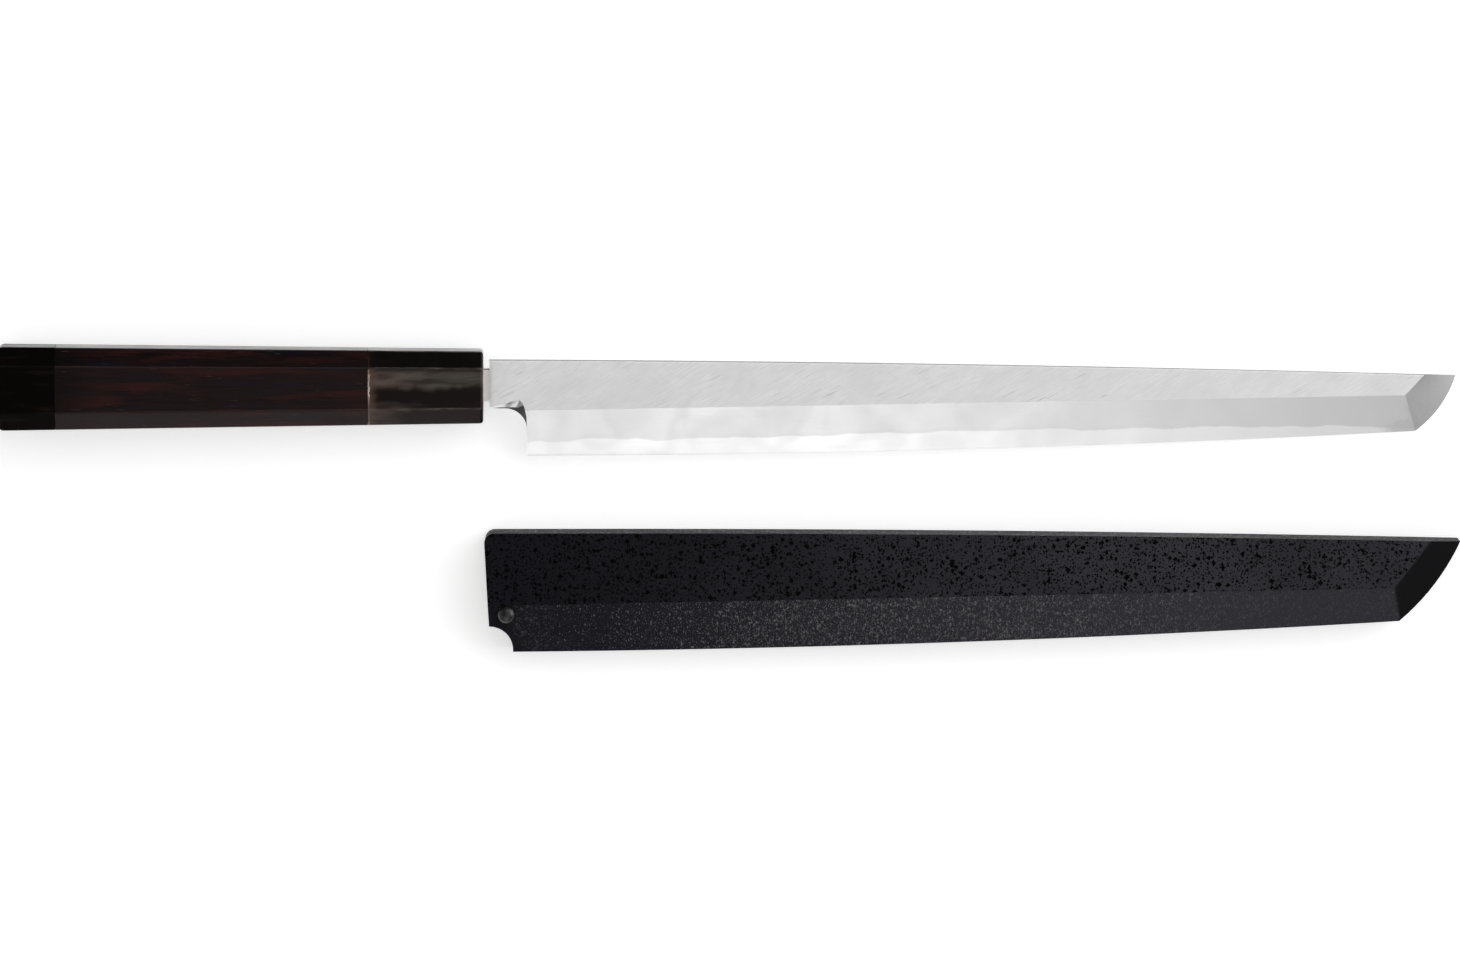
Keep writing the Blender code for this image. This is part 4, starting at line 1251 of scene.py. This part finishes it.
# %% Horn
def horn(name, cloud, amber, gloss):
    """Polished horn, with a share of grey cloud and of amber at its back end."""
    finish = Finish(name, knife_board, Specular_IOR_Level=gloss, Specular_Tint=WARM_GLOSS)
    at = finish.at
    x, y, _ = finish.xyz(at)
    haze, specks = finish.group("handling", Vector=at, Size=12.0)
    arris = finish.attribute("arris")
    (worn_and_highlit,) = finish.group("arris_wear_and_highlight", Vector=at, Arris=arris)
    height = y + (finish.noise(finish.mapped(at, (1.0, 0.25, 0.25)), 7.0) - 0.5) * 5.0
    drawn = finish.mapped(at, (0.08, 0.45, 0.45), turn=(0, 0, 0.09))
    streaks = finish.noise(drawn, 1.0, detail=4.0, distortion=0.4)

    upper = height.fade(-0.8, 1.6) * y.fade(6.6, 4.6)
    lower = height.fade(-3.4, -4.6) * height.fade(-7.4, -6.0) * x.fade(-16, -30, 0.0, 0.45)
    back_patch = y.fade(-5.6, -6.6) * x.fade(-24, -36, 0.0, 0.8)
    clouds = finish.most(upper, lower, back_patch) * cloud * streaks.fade(0.3, 0.7, 0.35, 1.0)

    below_arris = y.fade(6.4, 5.4, 0.04, 1.0)
    ragged = finish.noise(finish.mapped(at, (0.3, 1, 1)), 1.1, detail=4.0, roughness=0.7) * 3.0
    warm = (x - ragged).fade(-35.6, -38.4) * below_arris * (0.7 * amber)
    nibbled = x - finish.noise(at, 0.8, detail=3.0) * 1.2
    pale = nibbled.fade(-37.4, -37.65) * below_arris * height.fade(-4.5, -1.5, 0.25, 1.0)
    pale = pale * finish.noise(at, 2.5).fade(0.35, 0.6, 0.25, 0.85) * amber
    # Lighter arrises: partly wear, partly a painted highlight along them.
    arris_sheen_and_wear = (worn_and_highlit * 0.5 + arris * 0.06) * (0.08 + 0.92 * amber)
    tone = finish.coats(
        finish.mix(streaks.fade(0.5, 0.85), (0.0022, 0.0018, 0.0017), (0.009, 0.006, 0.005)),
        (clouds, finish.mix(x.fade(-34, -18), (0.09, 0.066, 0.057), (0.06, 0.054, 0.045))),
        (warm, (0.082, 0.05, 0.037)),
        (pale, finish.mix(y.fade(4.0, 5.6), (0.62, 0.52, 0.44), (0.4, 0.2, 0.08))),
        (arris_sheen_and_wear, (0.13, 0.115, 0.1)),
    )
    finish.show(tone, haze * 0.07 + specks * 0.08 + 0.15, streaks + haze * 0.4, depth=0.006)
    return finish


horn("streaked_horn_finish", cloud=1.0, amber=1.0, gloss=0.16).put_on(ferrule)
horn("black_horn_finish", cloud=0.0, amber=0.0, gloss=0.02).put_on(butt_cap)

# %% [markdown]
# The dowels are pale wood. The front one is just seen in the ferrule's mouth, round the tang. The inside
# of the sheath is bare wood too, a little lighter, and rougher from the gouge.

# %% Pale wood
pale_wood = Finish("pale_wood", knife_board, Specular_IOR_Level=0.3)
rings, fibres, pores = pale_wood.group("wood_grain", Vector=pale_wood.at, Ring=2.6)
tone = pale_wood.mix(rings, (0.56, 0.40, 0.23), (0.44, 0.28, 0.14))
tone = pale_wood.coats(tone, (fibres * 0.5, (0.36, 0.22, 0.11)), (pores * 0.6, (0.22, 0.13, 0.06)))
pale_wood.show(tone, fibres * 0.15 + 0.55, fibres - pores, depth=0.02)
for name in ("core_dowel", "butt_dowel"):
    frame["nodes"][name].data.materials.clear()
    pale_wood.put_on(frame["nodes"][name])

bare_wood = Finish("bare_sheath_wood", sheath_board, Specular_IOR_Level=0.3)
rings, fibres, pores = bare_wood.group("wood_grain", Vector=bare_wood.at, Ring=3.4)
tone = bare_wood.mix(rings, (0.60, 0.46, 0.29), (0.50, 0.35, 0.20))
tone = bare_wood.coats(tone, (fibres * 0.4, (0.42, 0.28, 0.15)))
bare_wood.show(tone, fibres * 0.12 + 0.6, fibres - pores, depth=0.03)

# %% [markdown]
# ## Stone lacquer
#
# The sheath's lacquer is made with granules: a matt black ground, over which small drops and crumbs of
# glossy lacquer stand out. On the flat they are blacker than the ground. On the bevel they are painted
# greyer than the ground, greyest towards the mouth: painted glints on their tops. The ground is painted
# lighter from the mouth towards the tip, and on the bevel a little lighter near the mouth, as painted
# light. Towards the mouth the crumbs are rare, and on the facet of the tip the granules run out into
# smooth lacquer.

# %% Lacquer
def strewn(finish, at, density, small, large, move):
    """Small drops close together, with a few large ones among them. Each has a size and a spread."""
    close = {"Size": small[0], "Least": density + 0.33, "Spread": small[1]}
    rare = {"Size": large[0], "Least": density - 0.08, "Spread": large[1]}
    (one,) = finish.group("drops", Vector=at, **close)
    (other,) = finish.group("drops", Vector=finish.mapped(at, move=move), **rare)
    return finish.most(one, other)


stone = Finish("stone_lacquer_finish", sheath_board, Specular_IOR_Level=0.03)
at = stone.at
x, y, _ = stone.xyz(at)
haze, _ = stone.group("handling", Vector=at, Size=30.0)
slope = (ridge_stop - ridge_start) / (SHEATH_RIDGE_END - RIDGE_FROM)
ridge_at = x * slope + (ridge_start - RIDGE_FROM * slope) / MM
on_bevel = (ridge_at - y).fade(-0.2, 0.2) * stone.attribute("front_bevel_faces")

density = (stone.noise(at, 7.0) - 0.5) * 0.2
drops = strewn(stone, at, density, small=(0.75, 0.35), large=(1.5, 0.8), move=(27, 5, 9))
upright = stone.mapped(at, (1.2, 0.7, 1.0), move=(5, 13, 3))
rarer = density + x.fade(10.0, 100.0, -0.3, 0.0)
crumbs = strewn(stone, upright, rarer, small=(0.45, 0.4), large=(0.85, 0.85), move=(9, 4, 21))
crumbs = crumbs * stone.noise(at, 1.4, detail=3.0, roughness=0.7).fade(0.3, 0.7, 0.25, 1.0)
with_crumbs = on_bevel * (x + stone.noise(at, 9.0, detail=3.0) * 30.0).fade(18.0, 42.0)
past_facet = stone.attribute("past_facet")
granules = drops + with_crumbs * (crumbs - drops)
granules = granules * (past_facet + (stone.noise(at, 1.2) - 0.5) * 9.0).fade(0.8, -0.8)
smooth = past_facet.fade(-0.5, 0.8)

# Painted light: the ground is painted lighter from the mouth towards the tip.
painted_light_to_tip = x.fade(-10, 250)
ground = stone.coats(
    stone.mix(painted_light_to_tip, (0.0078, 0.0073, 0.0103), (0.0375, 0.0358, 0.0425)),
    (haze * 0.35, (0.0075, 0.0072, 0.0095)),
    (on_bevel, stone.mix(painted_light_to_tip, (0.0096, 0.009, 0.0125), (0.034, 0.0325, 0.0385))),
    (smooth, (0.0075, 0.0072, 0.008)),
)
# Painted glints: the granules on the bevel are painted grey, greyest towards the mouth.
painted_glint_grey = stone.mix(x.fade(180, 260), (0.125, 0.122, 0.132), (0.06, 0.058, 0.064))
painted_glint_grey = stone.coats(painted_glint_grey, (x.fade(60, 5), (0.13, 0.127, 0.136)))
tone = stone.mix(granules, ground, stone.mix(with_crumbs, (0.0006, 0.0006, 0.0007), painted_glint_grey))
rough = 0.52 - smooth * 0.1 + haze * 0.06 - granules * 0.27
stone.show(tone, rough, granules + stone.noise(at, 0.35) * 0.25, depth=0.1)
for finish in (stone, bare_wood):
    finish.put_on(sheath)

# %% [markdown]
# The peg is turned from the same wood and lacquered without granules, so the marks of the turning tool
# still show as faint rings, one every quarter of a millimetre.

# %% Lacquered peg
RING_STEP = 2 * math.pi / 24
peg_finish = Finish("peg_lacquer_finish", sheath_board, Specular_IOR_Level=0.5)
haze, _ = peg_finish.group("handling", Vector=peg_finish.at, Size=4.0)
centred = peg_finish.mapped(peg_finish.at, move=(-PEG_AT.x / MM, -PEG_AT.y / MM, 0))
from_axis = peg_finish.vector("LENGTH", centred, name="Value")
turning = peg_finish.math("SINE", from_axis * (2 * math.pi / RING_STEP))
tone = peg_finish.mix(haze, (0.003, 0.003, 0.0035), (0.006, 0.006, 0.007))
peg_finish.show(tone, haze * 0.1 + 0.25, turning, depth=0.003)
peg_finish.put_on(peg)

# %% [markdown]
# ## Camera
#
# The photograph was taken from almost straight above with a long lens, a few degrees from the spine's
# side, so that the upper faces of handle and sheath just show.

# %% Camera
CAMERA_TILT = math.radians(6.0)
CAMERA_DISTANCE = 2.514
LENS, SENSOR = 200.0, 36.0
target = Vector((0.0, 0.0035, 0.010))
camera_data = bpy.data.cameras.new("camera")
camera_data.lens = LENS
camera_data.sensor_width = SENSOR
camera_data.clip_end = 20.0
camera = bpy.data.objects.new("camera", camera_data)
bpy.context.scene.collection.objects.link(camera)
camera.rotation_euler = (-CAMERA_TILT, 0.0, 0.0)
camera.location = target + CAMERA_DISTANCE * Vector((0.0, math.sin(CAMERA_TILT), math.cos(CAMERA_TILT)))
bpy.context.scene.camera = camera
print("frame width at the knife in mm:", round(1000 * SENSOR / LENS * CAMERA_DISTANCE, 1))

# %% [markdown]
# ## Studio
#
# The floor is plain white paper that keeps a soft shadow. To the camera and in reflections it is as
# white as the photo's ground, but it sheds no more light on the knife for that.

# %% Floor
FLOOR_GLOW = 0.48
floor_bm = bmesh.new()
bmesh.ops.create_grid(floor_bm, x_segments=1, y_segments=1, size=6.0)
floor = as_object("floor", floor_bm)

paper = bpy.data.materials.new("white_paper")
paper.use_nodes = True
tree = Tree(paper.node_tree)
shader = paper.node_tree.nodes["Principled BSDF"]
for socket, value in (("Base Color", tint(0.8)), ("Roughness", 0.9), ("Specular IOR Level", 0.1)):
    shader.inputs[socket].default_value = value
path = tree.node("LightPath")
seen = tree.out(path, "Is Camera Ray") + tree.out(path, "Is Glossy Ray")
seen = tree.math("ADD", seen, tree.out(path, "Is Transmission Ray"), clamp=True)
glow = tree.node("Emission", {"Color": tint(1.0), "Strength": seen * FLOOR_GLOW})
both = tree.node("AddShader", {0: tree.out(shader), 1: tree.out(glow)})
tree.feed(paper.node_tree.nodes["Material Output"].inputs["Surface"], tree.out(both))
floor.data.materials.append(paper)
print("floor side in m:", floor.dimensions.x)

# %% [markdown]
# A gloss surface shows what stands opposite it, so the world is a tent of pale cloth whose parts are
# placed for what each facet sees. It is brightest at the horizon and darker higher up, most of all
# straight overhead on the handle's side. It gains towards the tip, where the steel is palest. One dark
# curtain stands towards the spine's side, one beyond the edge on the tip's side, and a small dark card
# beyond the edge near the handle. Two large soft lamps stand before the edge and behind the spine.

# %% World and lamps
CARD_TOWARDS = (-0.58, -0.74, 0.34)
world = bpy.data.worlds.new("tent")
bpy.context.scene.world = world
world.use_nodes = True
tree = Tree(world.node_tree)
direction = tree.out(tree.node("TexCoord"), "Generated")
x, y, z = tree.xyz(direction)
cloth = z.fade(0.55, 0.82, 1.1, 0.68) * tree.most(x * y.fade(-0.35, 0.0, 0.0, 2.2) + 1.0, 0.5)
overhead = z.fade(0.9, 0.99) * x.fade(-0.1, 0.1, -0.45, 0.05)
beyond_edge = x.fade(0.02, 0.22) * y.fade(-0.1, -0.35) * 0.85
behind_spine = y.fade(0.5, 0.85) * 0.88
card = tree.vector("DOT_PRODUCT", direction, {1: CARD_TOWARDS}, name="Value").fade(0.89, 0.95) * 0.95
light = (cloth + overhead) * (1.0 - beyond_edge) * (1.0 - behind_spine) * (1.0 - card)
tree.feed(world.node_tree.nodes["Background"].inputs["Color"], light)


def softbox(name, place, size, watts):
    """A large soft lamp that looks at the middle of the knife."""
    data = bpy.data.lights.new(name, "AREA")
    data.shape = "RECTANGLE"
    data.size, data.size_y = size
    data.energy = watts
    lamp = bpy.data.objects.new(name, data)
    bpy.context.scene.collection.objects.link(lamp)
    lamp.location = place
    lamp.rotation_euler = (-Vector(place)).to_track_quat("-Z", "Y").to_euler()
    lamp.visible_camera = False
    print(name, "of", watts, "W at", place)


softbox("front_softbox", place=(0.08, -0.85, 1.45), size=(0.42, 0.2), watts=1.6)
softbox("spine_softbox", place=(0.2, 1.1, 1.0), size=(1.2, 0.5), watts=2.5)
bpy.context.scene.view_settings.view_transform = "Standard"
